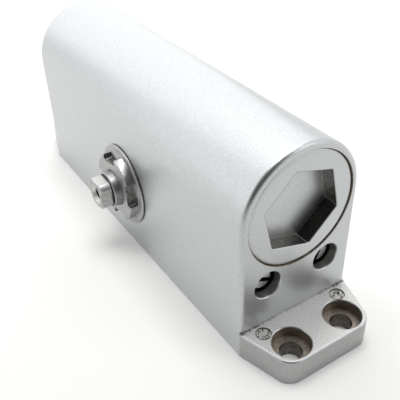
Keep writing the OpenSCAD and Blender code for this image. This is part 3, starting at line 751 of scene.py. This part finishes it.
start = SPINDLE_END - COUNTERSINK
for side in (-1, 1):
    zigzag = [(0, side * (SPINDLE_END + OVER)), (COUNTERSINK_R, side * (SPINDLE_END + OVER)),
              (COUNTERSINK_R, side * SPINDLE_END), (THREAD_R, side * start)]
    for number in range(THREAD_TURNS):
        zigzag.append((THREAD_R + THREAD_DEPTH, side * (start - THREAD_PITCH * (number + 0.5))))
        zigzag.append((THREAD_R, side * (start - THREAD_PITCH * (number + 1))))
    zigzag.append((0, side * (start - THREAD_PITCH * THREAD_TURNS)))
    carve(spindle, turned("tap", zigzag, "Y", (0, 0, SPINDLE_Z), TAP_STEPS))
soften(spindle, SPINDLE_BREAK)

# %% [markdown]
# ## Speed valves
# Two slotted screws set the closing speeds. Only the slotted end of a thin neck shows in each
# hole, and a short stub would do for the photograph. The screw is turned whole all the same, with
# its shoulder, packing groove and conical point, because it screws in and out. The angle of each
# slot is the photograph's.

# %% Turn the two speed valves
THREAD_END = SHOULDER_X - 6 * MM
NECK_R = 3.2 * MM
VALVE_GROOVE = 1.5 * MM
VALVE_LAND = 1 * MM
VALVE_GROOVE_R = VALVE_R - 0.85 * MM
STEM_R = 2.4 * MM
POINT_R = 1 * MM
POINT_LEN = 2.2 * MM
SLOT_W = 1.3 * MM
SLOT_DEPTH = 1.4 * MM
CLOSING_SLOT_TURN = math.radians(-26)
LATCH_SLOT_TURN = math.radians(66)
VALVE_BREAK = 0.1 * MM

valves = []
for name, y, slot_turn in (("closing_valve", -VALVE_Y, CLOSING_SLOT_TURN),
                           ("latch_valve", VALVE_Y, LATCH_SLOT_TURN)):
    groove_x = THREAD_END - VALVE_GROOVE
    screw = turned(name, [
        (0, VALVE_TIP), (POINT_R, VALVE_TIP), (STEM_R, VALVE_TIP + POINT_LEN),
        (STEM_R, groove_x - VALVE_LAND), (VALVE_R, groove_x - VALVE_LAND), (VALVE_R, groove_x),
        (VALVE_GROOVE_R, groove_x), (VALVE_GROOVE_R, THREAD_END), (VALVE_R, THREAD_END),
        (VALVE_R, SHOULDER_X - BREAK), (VALVE_R - BREAK, SHOULDER_X), (NECK_R, SHOULDER_X),
        (NECK_R, VALVE_FACE - BREAK), (NECK_R - BREAK, VALVE_FACE), (0, VALVE_FACE)],
        "X", (0, y, VALVE_Z), SMALL_STEPS)
    slot = block("slot", (VALVE_FACE - SLOT_DEPTH, -2 * VALVE_R, -SLOT_W / 2),
                 (VALVE_FACE + OVER, 2 * VALVE_R, SLOT_W / 2))
    slot.matrix_world = Matrix.Translation((0, y, VALVE_Z)) @ Matrix.Rotation(slot_turn, 4, "X")
    bpy.ops.object.transform_apply(location=True, rotation=True, scale=True)
    carve(screw, slot)
    soften(screw, VALVE_BREAK)
    valves.append(screw)

# %% [markdown]
# ## Wound springs
# A compression spring is hardened wire wound on a mandrel, with its last turn at each end closed
# up to sit flat. A curve with a thickness would do as well. The Screw modifier works as the
# winding machine does: it takes a circle, the wire's section, round X, once for each closed turn
# and once for the open ones between. The springs stand for the CAD ones, which can't shorten.

# %% Wind the three springs
WIRES = {"main_spring": (3.5 * MM, 12), "inner_spring": (2.2 * MM, 16),
         "relief_spring": (0.7 * MM, 6)}
CLOSED_GAP = 0.5 * MM
STEPS_A_TURN = 24
WIRE_SIDES = 10
WIRE_SMOOTH_ANGLE = math.radians(50)


def wound(name, low, high, wire, turns):
    """A spring of round wire along X between two corners, with one closed turn at each end."""
    coil_r = (high.y - low.y - wire) / 2
    closed = wire + CLOSED_GAP
    pitch = (high.x - low.x - wire - 2 * closed) / (turns - 2)
    coils = []
    at = wire / 2
    for count, rise in ((1, closed), (turns - 2, pitch), (1, closed)):
        clear_selection()
        bpy.ops.mesh.primitive_circle_add(vertices=WIRE_SIDES, radius=wire / 2,
                                          location=(at, coil_r, 0))
        coils.append(named(name))
        apply_modifier(coils[-1], "SCREW", axis="X", screw_offset=rise, iterations=count,
                       steps=STEPS_A_TURN, render_steps=STEPS_A_TURN)
        at += count * rise
    piece = join(name, coils)
    piece.location = (low.x, (low.y + high.y) / 2, (low.z + high.z) / 2)
    bpy.ops.object.transform_apply(location=True, rotation=True, scale=True)
    edit_all()
    bpy.ops.mesh.remove_doubles(threshold=TINY / 10)
    bpy.ops.mesh.fill_holes(sides=0)
    bpy.ops.mesh.select_all(action="SELECT")
    bpy.ops.mesh.normals_make_consistent(inside=False)
    object_mode()
    bpy.ops.object.shade_smooth_by_angle(angle=WIRE_SMOOTH_ANGLE)
    print(name, "turns:", turns, "pitch mm:", round(pitch / MM, 2))
    return piece


springs = {node: wound("wound_" + node, *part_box(node), *wire) for node, wire in WIRES.items()}

# %% [markdown]
# ## Materials
# Each material starts from what the real one is and how its surface was made. Its colours are
# written as they look, in sRGB hex, and one function turns them to the linear values that the
# renderer works in. A flat colour would look like plastic, so one recipe lets every colour run
# between two tones over a pattern of a real size in millimetres.

# %% Colour and node helpers
def hex_colour(code):
    """#RRGGBB to linear RGBA."""
    parts = [int(code[i:i + 2], 16) / 255 for i in (1, 3, 5)]
    return (*[v / 12.92 if v <= 0.04045 else ((v + 0.055) / 1.055) ** 2.4 for v in parts], 1)


def add_node(tree, kind, settings=None, **inputs):
    """One node with its settings, and its inputs set to values or linked to other sockets. An
    input is named, or given as i and its number."""
    node = tree.nodes.new(kind)
    for key, value in (settings or {}).items():
        setattr(node, key, value)
    for key, value in inputs.items():
        entry = node.inputs[int(key[1:]) if key[1:].isdigit() else key.replace("_", " ")]
        if isinstance(value, bpy.types.NodeSocket):
            tree.links.new(value, entry)
        else:
            entry.default_value = value
    return node


def new_material(name):
    """A material with its node tree and its shader."""
    material = bpy.data.materials.new(name)
    material.use_nodes = True
    return material, material.node_tree, material.node_tree.nodes["Principled BSDF"]


print("#BFC2C3 in linear light:", [round(v, 3) for v in hex_colour("#BFC2C3")])

# %% The recipe for a coat
NOISE = "ShaderNodeTexNoise"


def coat(name, low, high, size_mm, metallic, roughness, stretch=(1, 1, 1), tones=(0.35, 0.65),
         bump=0.0, depth_mm=0.0, pattern=NOISE, settings=None, **inputs):
    """A material whose colour runs from low to high where its pattern runs between the tones. The
    pattern's grains measure size_mm, and a bump has a strength and a depth."""
    material, tree, shader = new_material(name)
    shader.inputs["Metallic"].default_value = metallic
    shader.inputs["Roughness"].default_value = roughness
    place = add_node(tree, "ShaderNodeTexCoord")
    scaled = add_node(tree, "ShaderNodeMapping", Vector=place.outputs["Object"], Scale=stretch)
    drawn = add_node(tree, pattern, settings, Vector=scaled.outputs["Vector"],
                     Scale=1 / (size_mm * MM), **inputs)
    ramp = add_node(tree, "ShaderNodeValToRGB", Fac=drawn.outputs["Fac"])
    for stop, position, code in zip(ramp.color_ramp.elements, tones, (low, high)):
        stop.position = position
        stop.color = hex_colour(code)
    tree.links.new(ramp.outputs["Color"], shader.inputs["Base Color"])
    if bump:
        relief = add_node(tree, "ShaderNodeBump", Height=drawn.outputs["Fac"], Strength=bump,
                          Distance=depth_mm * MM)
        tree.links.new(relief.outputs["Normal"], shader.inputs["Normal"])
    print(name, low, "to", high, "over", round(size_mm, 2), "mm")
    return material


# %% [markdown]
# ## Painted shade in the corners over the feet
# The inner corner over a foot lies in shade, and that shade is painted as a broken dark line. It
# could be a strip of its own. It is mixed into the colours of the paint and of the feet's tops
# instead, by the distance from that corner, so that it lies on both surfaces and has no edge.

# %% Darken a material near the corner
CORNER_SHADE_PATCH_MM = 1.1
CORNER_SHADE_FADE = 0.35 / MM
CORNER_SHADE_FROM, CORNER_SHADE_FULL = 0.3, 0.5
CORNER_SHADE_MOST = 0.75
CORNER_SHADE_LEAST_SHARE = 0.25
CORNER_SHADE_IN_Y, CORNER_SHADE_OUT_Y = 7 * MM, 16 * MM


def corner_painted_shade(material):
    """Paints shade into the material, in patches within about a millimetre of the corners."""
    tree = material.node_tree
    base = tree.nodes["Principled BSDF"].inputs["Base Color"]
    clean = base.links[0].from_socket
    place = add_node(tree, "ShaderNodeTexCoord").outputs["Object"]
    folded = add_node(tree, "ShaderNodeVectorMath", {"operation": "ABSOLUTE"}, i0=place)
    offset = add_node(tree, "ShaderNodeVectorMath", {"operation": "SUBTRACT"},
                      i0=folded.outputs["Vector"], i1=(END_X, 0, FOOT_T))
    away = add_node(tree, "ShaderNodeVectorMath", {"operation": "ABSOLUTE"},
                    i0=offset.outputs["Vector"])
    parts = add_node(tree, "ShaderNodeSeparateXYZ", Vector=away.outputs["Vector"])
    farthest = add_node(tree, "ShaderNodeMath", {"operation": "MAXIMUM"}, i0=parts.outputs["X"],
                        i1=parts.outputs["Z"])
    fade = add_node(tree, "ShaderNodeMath", {"operation": "MULTIPLY"}, i0=farthest.outputs[0],
                    i1=CORNER_SHADE_FADE)
    patches = add_node(tree, NOISE, Vector=place, Scale=1 / (CORNER_SHADE_PATCH_MM * MM), Detail=3.0)
    shade_amount = add_node(tree, "ShaderNodeMath", {"operation": "SUBTRACT"}, i0=patches.outputs["Fac"],
                    i1=fade.outputs[0])
    strength = add_node(tree, "ShaderNodeMapRange", Value=shade_amount.outputs[0], From_Min=CORNER_SHADE_FROM,
                        From_Max=CORNER_SHADE_FULL, To_Min=0.0, To_Max=CORNER_SHADE_MOST)
    outwards = add_node(tree, "ShaderNodeMapRange", Value=parts.outputs["Y"], From_Min=CORNER_SHADE_IN_Y,
                        From_Max=CORNER_SHADE_OUT_Y, To_Min=CORNER_SHADE_LEAST_SHARE, To_Max=1.0)
    share = add_node(tree, "ShaderNodeMath", {"operation": "MULTIPLY"},
                     i0=strength.outputs["Result"], i1=outwards.outputs["Result"])
    # The dark colour mixed in here is painted shade in the corner.
    mix = add_node(tree, "ShaderNodeMix", {"data_type": "RGBA"}, i0=share.outputs[0], i6=clean,
                   i7=hex_colour("#3A3630"))
    tree.links.new(mix.outputs[2], base)


print("patches of grime:", CORNER_SHADE_PATCH_MM, "mm wide")

# %% [markdown]
# ## Silver metallic enamel
# The body and its plugs are sprayed with aluminium flake in clear enamel and stoved: a pale grey
# that is neither mirror nor matt. Real flakes are about 0.03 mm wide, too fine to show, so they
# are drawn ten times as wide. A faint orange peel, a second and coarser noise, softens the
# reflections.

# %% Spray the enamel
silver_paint = coat("silver_metallic_enamel", "#BFC2C3", "#CED1D2", 0.35, 0.9, 0.36, Detail=1.0)
PEEL_MM = 0.6
tree = silver_paint.node_tree
place = add_node(tree, "ShaderNodeTexCoord")
peel = add_node(tree, NOISE, Vector=place.outputs["Object"], Scale=1 / (PEEL_MM * MM))
relief = add_node(tree, "ShaderNodeBump", Height=peel.outputs["Fac"], Strength=0.1,
                  Distance=0.04 * MM)
tree.links.new(relief.outputs["Normal"], tree.nodes["Principled BSDF"].inputs["Normal"])
# Painted shade in the corners over the feet, on the paint.
corner_painted_shade(silver_paint)

# %% [markdown]
# ## Drilled aluminium
# The holes are drilled after painting, so they show bare metal, a little brown from cutting oil,
# with the rings of the drill's feed. A wave along Z gives rings on the counterbores' walls, where
# noise would give blotches. Real rings are 0.2 mm apart and are drawn at 0.7 mm, so that they
# show.

# %% Bare metal of the holes
RING_PITCH_MM = 0.7
BANDS = 20 / (2 * math.pi)      # a wave texture draws this many bands over its size
bare_metal = coat("drilled_aluminium", "#746B61", "#ADA498", RING_PITCH_MM * BANDS, 0.8, 0.36,
                  tones=(0.1, 0.9), pattern="ShaderNodeTexWave",
                  settings={"bands_direction": "Z"}, Distortion=3.0, Detail=3.0)

# %% [markdown]
# ## Spot-faced floors and shaded walls
# The counterbore's end cuts leave a flatter, greyer floor than its flutes leave on the wall. The
# screw holes under it are narrow, and the shade in them is painted into their walls as a dark
# colour. Both could share the drilled metal, but it is the step from pale to dark that makes the
# holes look deep.

# %% Floors of the counterbores and walls of the screw holes
faced = coat("spot_faced_aluminium", "#857C72", "#A79E93", 0.6, 0.8, 0.4, Detail=3.0)
# The screw holes' walls are darkened as painted shade.
shaded_drilled = coat("shaded_drilled_aluminium", "#4A4641", "#7C766E", 0.8, 0.8, 0.35, Detail=3.0)

# %% [markdown]
# ## Reamed aluminium
# A reamer finishes the valves' holes and leaves a brighter and smoother wall than a drill. A wave
# would draw its close feed lines too evenly, so noise is pressed together along X, to an eighth
# of a millimetre.

# %% Walls of the valves' holes
reamed = coat("reamed_aluminium", "#9A9996", "#C6C5C2", 0.5, 0.7, 0.35, stretch=(4, 1, 1))

# %% [markdown]
# ## Broached aluminium with painted shade
# The broach scrapes the socket's walls after painting and leaves bare metal with fine lines in the
# direction of its stroke. Its colour is darkened as painted shade in the socket. The noise is drawn
# out along X five times, with lines 0.3 mm apart, coarser than the real ones so that they show.

# %% Walls of the socket
# The socket's walls are darkened as painted shade.
shaded_broached = coat("shaded_broached_aluminium", "#55514E", "#8B8783", 0.3, 1.0, 0.26, stretch=(0.2, 1, 1))

# %% [markdown]
# ## Thread sealant
# A thin brown line of dried sealant shows where the plug's thread ends. It is a crumbly resin and
# no metal, so it hardly shines, and its tone changes about every millimetre, as a brushed bead
# does.

# %% Line round the plugs
sealant = coat("thread_sealant", "#6B5646", "#907A68", 0.8, 0.0, 0.7)

# %% [markdown]
# ## Nickel-plated steel
# Gland and spindle are turned steel under dull nickel: they mirror the room, blurred by fine
# scores. A plain mirror would look like chrome. The noise is drawn out along the spindle's axis,
# as the photograph's streaks are, and its bump breaks the reflection up.

# %% Turned steel
nickel = coat("nickel_plated_steel", "#98999A", "#BCBDBB", 0.3, 1.0, 0.42, stretch=(1, 0.2, 1),
              bump=0.35, depth_mm=0.05)

# %% [markdown]
# ## Milled steel
# The squares are milled after turning, and the plating leaves the mill's tearing visible as dark
# specks on a rough pale ground. The spanner's notches are milled too, but after plating, so their
# steel is bare, and its colour is darkened as painted shade in the notches. Noise with a narrow
# step gives specks, and with a wide one it gives soft patches.

# %% Squares and notches
milled = coat("milled_nickel_steel", "#A1A2A0", "#E2E3E0", 0.3, 0.9, 0.42, tones=(0.36, 0.56),
              bump=0.4, depth_mm=0.05, Detail=3.0)
# The notches' bare steel is darkened as painted shade.
shaded_notch_steel = coat("shaded_milled_steel", "#5E5D5B", "#858482", 1.0, 0.8, 0.42)

# %% [markdown]
# ## Painted shade in the narrow places
# The tapped holes, the groove behind each square, the underside of the gland's flange, the valves'
# slots and the bottom of their holes lie in shade, and that shade is painted in. Plain black would
# look like a hole in the picture, so the painted shade is a brownish black in patches that shines a
# little.

# %% Painted shade in the narrow places
# A near-black coat that is painted shade for the narrow places.
painted_shade = coat("painted_recess_shade", "#141312", "#34302C", 0.9, 0.0, 0.45)

# %% [markdown]
# ## Cast skin of the feet
# The feet's tops lay against the ejector side of the die. Their skin is coarser under the paint,
# so they scatter the light that the body mirrors. The grains could be displaced, but they are
# under a tenth of a millimetre deep, and a bump shows them as well.

# %% Tops of the feet
cast_skin = coat("coarse_cast_enamel", "#D8D8D6", "#F0F0EE", 0.45, 0.3, 0.42, tones=(0.38, 0.62),
                 bump=0.3, depth_mm=0.08, Detail=3.0)
# Painted shade in the corners over the feet, on the feet's tops.
corner_painted_shade(cast_skin)

# %% [markdown]
# ## Scarred floors of the ejector marks
# The ejector pins drag over the soft casting and scar the floors of their marks. Carved scars
# look like signs at this size. Distorted noise with a narrow step gives short crooked scars on a
# pale ground, and no two marks are alike.

# %% Floors of the marks
scarred = coat("scarred_cast_aluminium", "#4E4840", "#D4D3D0", 1.3, 0.5, 0.42, tones=(0.43, 0.5),
               bump=0.6, depth_mm=0.1, Detail=3.0, Distortion=1.5)

# %% [markdown]
# ## Trimmed sides of the feet
# A trimming press cuts the flash off round the feet. It leaves upright drag lines on darker
# metal, so the noise is drawn out along Z, with lines 0.3 mm apart.

# %% Sides of the feet
trimmed = coat("trimmed_aluminium", "#A7A7A7", "#B6B6B6", 0.3, 0.9, 0.4, stretch=(1, 1, 0.15),
               tones=(0.3, 0.7), bump=0.1, depth_mm=0.03)

# %% [markdown]
# ## Zinc-plated steel
# The speed valves, the pressed pins and the small plain steel parts inside are zinc plated. The
# zinc is paler than the nickel, and its skin is faintly cloudy, with clouds about a millimetre
# wide. One plain colour would nearly do for the valves, which lie in shade, but the pins' ends
# are seen from below in full light.

# %% Valves and pins
zinc = coat("zinc_plated_steel", "#CACBCA", "#E0E1E0", 1.2, 0.75, 0.3, Detail=3.0)

# %% [markdown]
# ## Inner materials
# The inner pieces show only where the body is cut open, but each gets what it is made of: ground
# steel in the bearings, oiled wire, cast iron for the piston, rubber, nylon and filled ring
# plastic. Apart from the springs, the CAD nodes' own shapes are right and could hardly be made
# better here, so they stay, and only their material slots are filled.

# %% Materials of the inner pieces
ground_steel = coat("ground_bearing_steel", "#A9ABAE", "#CDD0D3", 0.5, 1.0, 0.18, Detail=3.0)
spring_steel = coat("oiled_spring_wire", "#2F3033", "#4A4C50", 0.7, 1.0, 0.3, Detail=3.0)
cast_iron = coat("machined_cast_iron", "#4C4D50", "#6A6C6F", 0.8, 1.0, 0.4, Detail=3.0)
nitrile = coat("moulded_nitrile_rubber", "#121212", "#1E1E1F", 0.6, 0.0, 0.6, Detail=3.0)
polyamide = coat("moulded_polyamide", "#6B4A2A", "#80592F", 0.9, 0.0, 0.45, Detail=3.0)
ptfe = coat("filled_ptfe", "#1C1C1E", "#2C2C2E", 0.5, 0.0, 0.5, Detail=3.0)
SLOTS = {"silver_paint": silver_paint, "nickel_steel": nickel, "valve_steel": zinc,
         "zinc_steel": zinc, "bearing_steel": ground_steel, "cage_plastic": polyamide,
         "piston_iron": cast_iron, "ring_plastic": ptfe, "spring_wire": spring_steel,
         "seal_rubber": nitrile}
for part in frame["record"]["subparts"]:
    node = frame["nodes"][part["node"]]
    node.data.materials.clear()
    node.data.materials.append(SLOTS[part["material_slot"]])
print("materials:", len(bpy.data.materials))

# %% [markdown]
# ## Dressing the casting
# A piece may carry more than one finish: the casting is painted outside, bare in its holes,
# coarse on its feet. The faces could be painted one by one, but each already says by its place
# and its direction which tool touched it last, so a short function reads that and gives the
# finish.

# %% Which finish a face of the casting has
LEVEL = 0.95
UPRIGHT = 0.3


def housing_finish(face):
    """0 paint, 1 drilled metal, 2 sealant, 3 reamed metal, 4 cast skin, 5 painted shade,
    6 trimmed side, 7 the counterbores' floors, 8 the marks' floors, 9 the screw holes' walls under
    painted shade."""
    c = face.center
    from_bore = math.hypot(c.y, c.z - BORE_Z)
    if from_bore < PLUG_HOLE_R + BORE_LIP and abs(c.x) < END_X - TINY:
        return 2 if abs(c.x) > END_X - BORE_LIP - TINY else 1
    from_spindle = math.hypot(c.x, c.z - SPINDLE_Z)
    if from_spindle < GLAND_HOLE_R + MOUTH and abs(c.y) < SIDE_Y - TINY:
        return 1
    from_hole = math.hypot(abs(c.x) - HOLE_X, abs(c.y) - HOLE_Y)
    if from_hole < CBORE_R + TINY and c.z < FOOT_T - MOUTH:
        return 7 if face.normal.z > FACING else 1 if from_hole > HOLE_R + MOUTH else 9
    from_valve = math.hypot(abs(c.y) - VALVE_Y, c.z - VALVE_Z)
    if c.x > VALVE_SEAT_X - OVER and from_valve < ACCESS_R + TINY:
        # Deeper than the valve's face, the hole's walls get painted shade.
        return 5 if c.x < VALVE_FACE - TINY else 3 if c.x < END_X - MOUTH else 0
    if abs(c.x) > END_X + TINY:
        from_mark = math.hypot(abs(c.x) - MARK_X, abs(c.y) - MARK_Y)
        if from_mark < MARK_R + TINY and c.z < FOOT_T - TINY:
            return 8 if from_mark < MARK_R - FLASH_W - TINY else 1
        return 4 if face.normal.z > LEVEL else 6 if abs(face.normal.z) < UPRIGHT else 0
    return 0


housing_coats = [silver_paint, bare_metal, sealant, reamed, cast_skin, painted_shade, trimmed, faced,
                 scarred, shaded_drilled]
print("finishes on the casting:", len(housing_coats))

# %% [markdown]
# ## Dressing the plugs, glands, spindle and valves
# The same reading of places works on the turned pieces: distance from the axis tells a bore from
# a rim, and distance along it tells a groove from an end.

# %% Which finish a face of the other pieces has
def plug_finish(face):
    """0 paint, 1 sealant on the rim's edge and the thread, 2 the socket's walls."""
    c = face.center
    from_axis = math.hypot(c.y, c.z - BORE_Z)
    if from_axis > PLUG_R - LINE_W:
        return 1
    inside = END_X - SOCKET_DEPTH + TINY < abs(c.x) < END_X - SOCKET_BREAK
    return 2 if inside and abs(face.normal.x) < SIDEWAYS and from_axis < PLUG_R - RIM_W else 0


def gland_finish(face):
    """0 nickel, 1 painted shade under the flange, 2 the notches, darkened as painted shade."""
    c = face.center
    from_axis = math.hypot(c.x, c.z - SPINDLE_Z)
    if from_axis > CROWN_TOP_R and abs(c.y) < SIDE_Y + UNDERCUT:
        return 1
    in_crown = JOURNAL_R + OVER < from_axis < CROWN_TOP_R - BREAK and abs(c.y) > FLANGE_TOP
    return 2 if in_crown and abs(face.normal.y) < SIDEWAYS else 0


def spindle_finish(face):
    """0 turned nickel, 1 milled flats, 2 painted shade in the neck groove and the tapped holes."""
    c = face.center
    from_axis = math.hypot(c.x, c.z - SPINDLE_Z)
    if abs(c.y) < NECK_TOP + NECK_GROOVE + 2 * TINY:
        return 2 if abs(c.y) > NECK_TOP - TINY else 0
    if from_axis < THREAD_R + THREAD_DEPTH and abs(c.y) < SPINDLE_END - COUNTERSINK:
        return 2
    return 1 if abs(c.y) < SPINDLE_END - END_CHAMFER else 0


def valve_finish(face):
    """0 zinc, 1 painted shade in the slot, on the neck's side and on the shoulder."""
    return 1 if SHOULDER_X - BREAK < face.center.x < VALVE_FACE - BREAK else 0


# The painted shade on the spindle starts at the neck groove.
print("grime on the spindle from", round(NECK_TOP / MM, 2), "mm out")

# %% [markdown]
# ## Tying the pieces to their bodies
# Each piece now rides on the body that carries it and stands for the CAD node that it replaces.
# Each could be tied where it is made, but one table holds all of that, because a piece that is
# left out of it would stay behind when the closer moves.

# %% Give each piece its finish, its body and the node it stands for
def finish(piece, materials, body, slot_name, node, choose=None):
    """Sets the materials, lets choose(face) pick one by number, and ties the piece to its body."""
    piece.data.materials.clear()
    for material in materials:
        piece.data.materials.append(material)
    counts = [0] * len(materials)
    for face in piece.data.polygons:
        face.material_index = choose(face) if choose else 0
        counts[face.material_index] += 1
    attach(piece, body)
    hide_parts(node)
    print(piece.name, "faces by finish:", counts)


plug_coats = [silver_paint, sealant, shaded_broached]
# The gland's second finish is painted shade under the flange.
gland_coats = [nickel, painted_shade, shaded_notch_steel]
# The dark finishes after the nickel and the zinc are painted shade in the narrow places.
for row in (
        (housing, housing_coats, "closer_body", "silver_paint", "housing", housing_finish),
        (plug, plug_coats, "closer_body", "silver_paint", "valve_end_plug", plug_finish),
        (far_plug, plug_coats, "closer_body", "silver_paint", "spring_end_plug", plug_finish),
        (gland, gland_coats, "closer_body", "nickel_steel", "rear_gland", gland_finish),
        (front_gland, gland_coats, "closer_body", "nickel_steel", "front_gland", gland_finish),
        (spindle, [nickel, milled, painted_shade], "pinion_spindle", "nickel_steel", "spindle",
         spindle_finish),
        (valves[0], [zinc, painted_shade], "closing_valve_screw", "valve_steel", "closing_speed_valve",
         valve_finish),
        (valves[1], [zinc, painted_shade], "latch_valve_screw", "valve_steel", "latch_speed_valve",
         valve_finish)):
    finish(*row)

# %% [markdown]
# ## Springs on their bodies
# A real spring's turns close up as the piston comes. These springs keep their length, so they
# would cut through the piston here. The record says which springs shorten with which joint and
# which body carries each, so nothing is typed in twice.

# %% Tie the springs to their bodies
behaviour = frame["record"]["behaviour"]
for joint in behaviour["joints"]:
    for soft in joint.get("deforming_nodes", []):
        node, fixed = soft["node"], soft["fixed_end_x_m"]
        body = next(name for name, nodes in behaviour["bodies"].items() if node in nodes)
        finish(springs[node], [spring_steel], body, "spring_wire", node)
        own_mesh(springs[node])

# %% [markdown]
# ## Table
# The photograph is a product shot on white: a pale table with a soft shadow. More light on the
# object would bleach the table but the paint with it. So the table glows a little, only for the
# camera and for reflections, and further out it fades into the white. In the photograph's view no
# edge shows. From behind, a faint grey band with a soft edge is still seen between the lit table
# and the white.

# %% Lay the table
TABLE_GLOW = 0.17
TABLE_SIZE = 6
TABLE_Z = -0.02 * MM
FADE_FROM, FADE_TO = 0.32, 0.7


def looked_at(tree):
    """1 where the camera, a mirror or a glass sees the surface, and 0 where it only gives light."""
    path = add_node(tree, "ShaderNodeLightPath")
    seen = path.outputs["Is Camera Ray"]
    for ray in ("Is Glossy Ray", "Is Transmission Ray"):
        seen = add_node(tree, "ShaderNodeMath", {"operation": "MAXIMUM"}, i0=seen,
                        i1=path.outputs[ray]).outputs[0]
    return seen


floor_material, tree, shader = new_material("pale_table")
shader.inputs["Base Color"].default_value = hex_colour("#F8F7F5")
shader.inputs["Roughness"].default_value = 0.9
shader.inputs["Emission Color"].default_value = (1, 1, 1, 1)
seen = looked_at(tree)
glow = add_node(tree, "ShaderNodeMath", {"operation": "MULTIPLY"}, i0=seen, i1=TABLE_GLOW)
tree.links.new(glow.outputs[0], shader.inputs["Emission Strength"])
place = add_node(tree, "ShaderNodeTexCoord")
away = add_node(tree, "ShaderNodeVectorMath", {"operation": "LENGTH"},
                Vector=place.outputs["Object"])
fade = add_node(tree, "ShaderNodeMapRange", Value=away.outputs["Value"], From_Min=FADE_FROM,
                From_Max=FADE_TO)
share = add_node(tree, "ShaderNodeMath", {"operation": "MULTIPLY"}, i0=seen,
                 i1=fade.outputs["Result"])
white = add_node(tree, "ShaderNodeEmission")
blend = add_node(tree, "ShaderNodeMixShader", i0=share.outputs[0], i1=shader.outputs["BSDF"],
                 i2=white.outputs["Emission"])
output = next(node for node in tree.nodes if node.type == "OUTPUT_MATERIAL")
tree.links.new(blend.outputs[0], output.inputs["Surface"])
clear_selection()
bpy.ops.mesh.primitive_plane_add(size=TABLE_SIZE, location=(0, 0, TABLE_Z))
floor = named("table_top")
floor.data.materials.append(floor_material)
print("table fades to white from", FADE_FROM, "to", FADE_TO, "m")

# %% [markdown]
# ## White room
# All round the table the photograph is white. A ring of white walls would do, and the world is
# simpler: it is white where the camera or a reflection sees it, and much weaker where it lights,
# so that the lamps alone shape the closer.

# %% Paint the world white
AMBIENT = 0.35

world = bpy.data.worlds.new("white_studio")
world.use_nodes = True
bpy.context.scene.world = world
tree = world.node_tree
background = tree.nodes["Background"]
strength = add_node(tree, "ShaderNodeMapRange", Value=looked_at(tree), To_Min=AMBIENT, To_Max=1.0)
background.inputs["Color"].default_value = (1, 1, 1, 1)
tree.links.new(strength.outputs["Result"], background.inputs["Strength"])
print("world lights at", AMBIENT)

# %% [markdown]
# ## Lamps
# The crown has one broad highlight. A point lamp would give a hard spot, so a large soft box
# behind and over the spring end gives it, with a second one overhead. A weak box opens the
# spindle's side, and a small one puts light on the valves' end.

# %% Hang the soft boxes
BODY_MIDDLE = (0, 0, 0.03)


def softbox(name, at, target, size, power):
    """A square soft light that points at a target."""
    light = bpy.data.lights.new(name, "AREA")
    light.size = size
    light.energy = power
    lamp = bpy.data.objects.new(name, light)
    bpy.context.scene.collection.objects.link(lamp)
    lamp.location = at
    lamp.rotation_euler = (Vector(target) - Vector(at)).to_track_quat("-Z", "Y").to_euler()
    lamp.visible_camera = False
    print(name, "size", size, "m,", power, "W")


softbox("top_light", (0, 0, 1), BODY_MIDDLE, 0.6, 6.2)
softbox("back_light", (-0.59, 0.12, 0.49), BODY_MIDDLE, 1.2, 2.9)
softbox("left_light", (-0.35, -0.6, 0.22), BODY_MIDDLE, 0.6, 0.4)
softbox("front_light", (0.33, 0.2, 0.3), (0.07, 0, 0.02), 0.2, 0.15)

# %% [markdown]
# ## Black flag
# Behind the camera the real room is dark. The steel and the paint mirror that darkness, which is
# what makes their edges and hollows read. Less light from the world would darken everything, so a
# black felt card stands behind the camera instead, and the camera itself doesn't see it.

# %% Stand the black card up
FLAG_AWAY = 0.45
FLAG_SIZE = 0.8

flag_material, _, shader = new_material("black_felt")
shader.inputs["Base Color"].default_value = hex_colour("#0C0C0C")
shader.inputs["Roughness"].default_value = 1.0
clear_selection()
bpy.ops.mesh.primitive_plane_add(size=FLAG_SIZE)
flag_aim = back.to_track_quat("Z", "Y").to_matrix().to_4x4()
bpy.context.object.matrix_world = Matrix.Translation(back * FLAG_AWAY) @ flag_aim
flag = named("black_flag")
flag.data.materials.append(flag_material)
flag.visible_camera = False
print("black card", FLAG_SIZE, "m wide,", FLAG_AWAY, "m away")
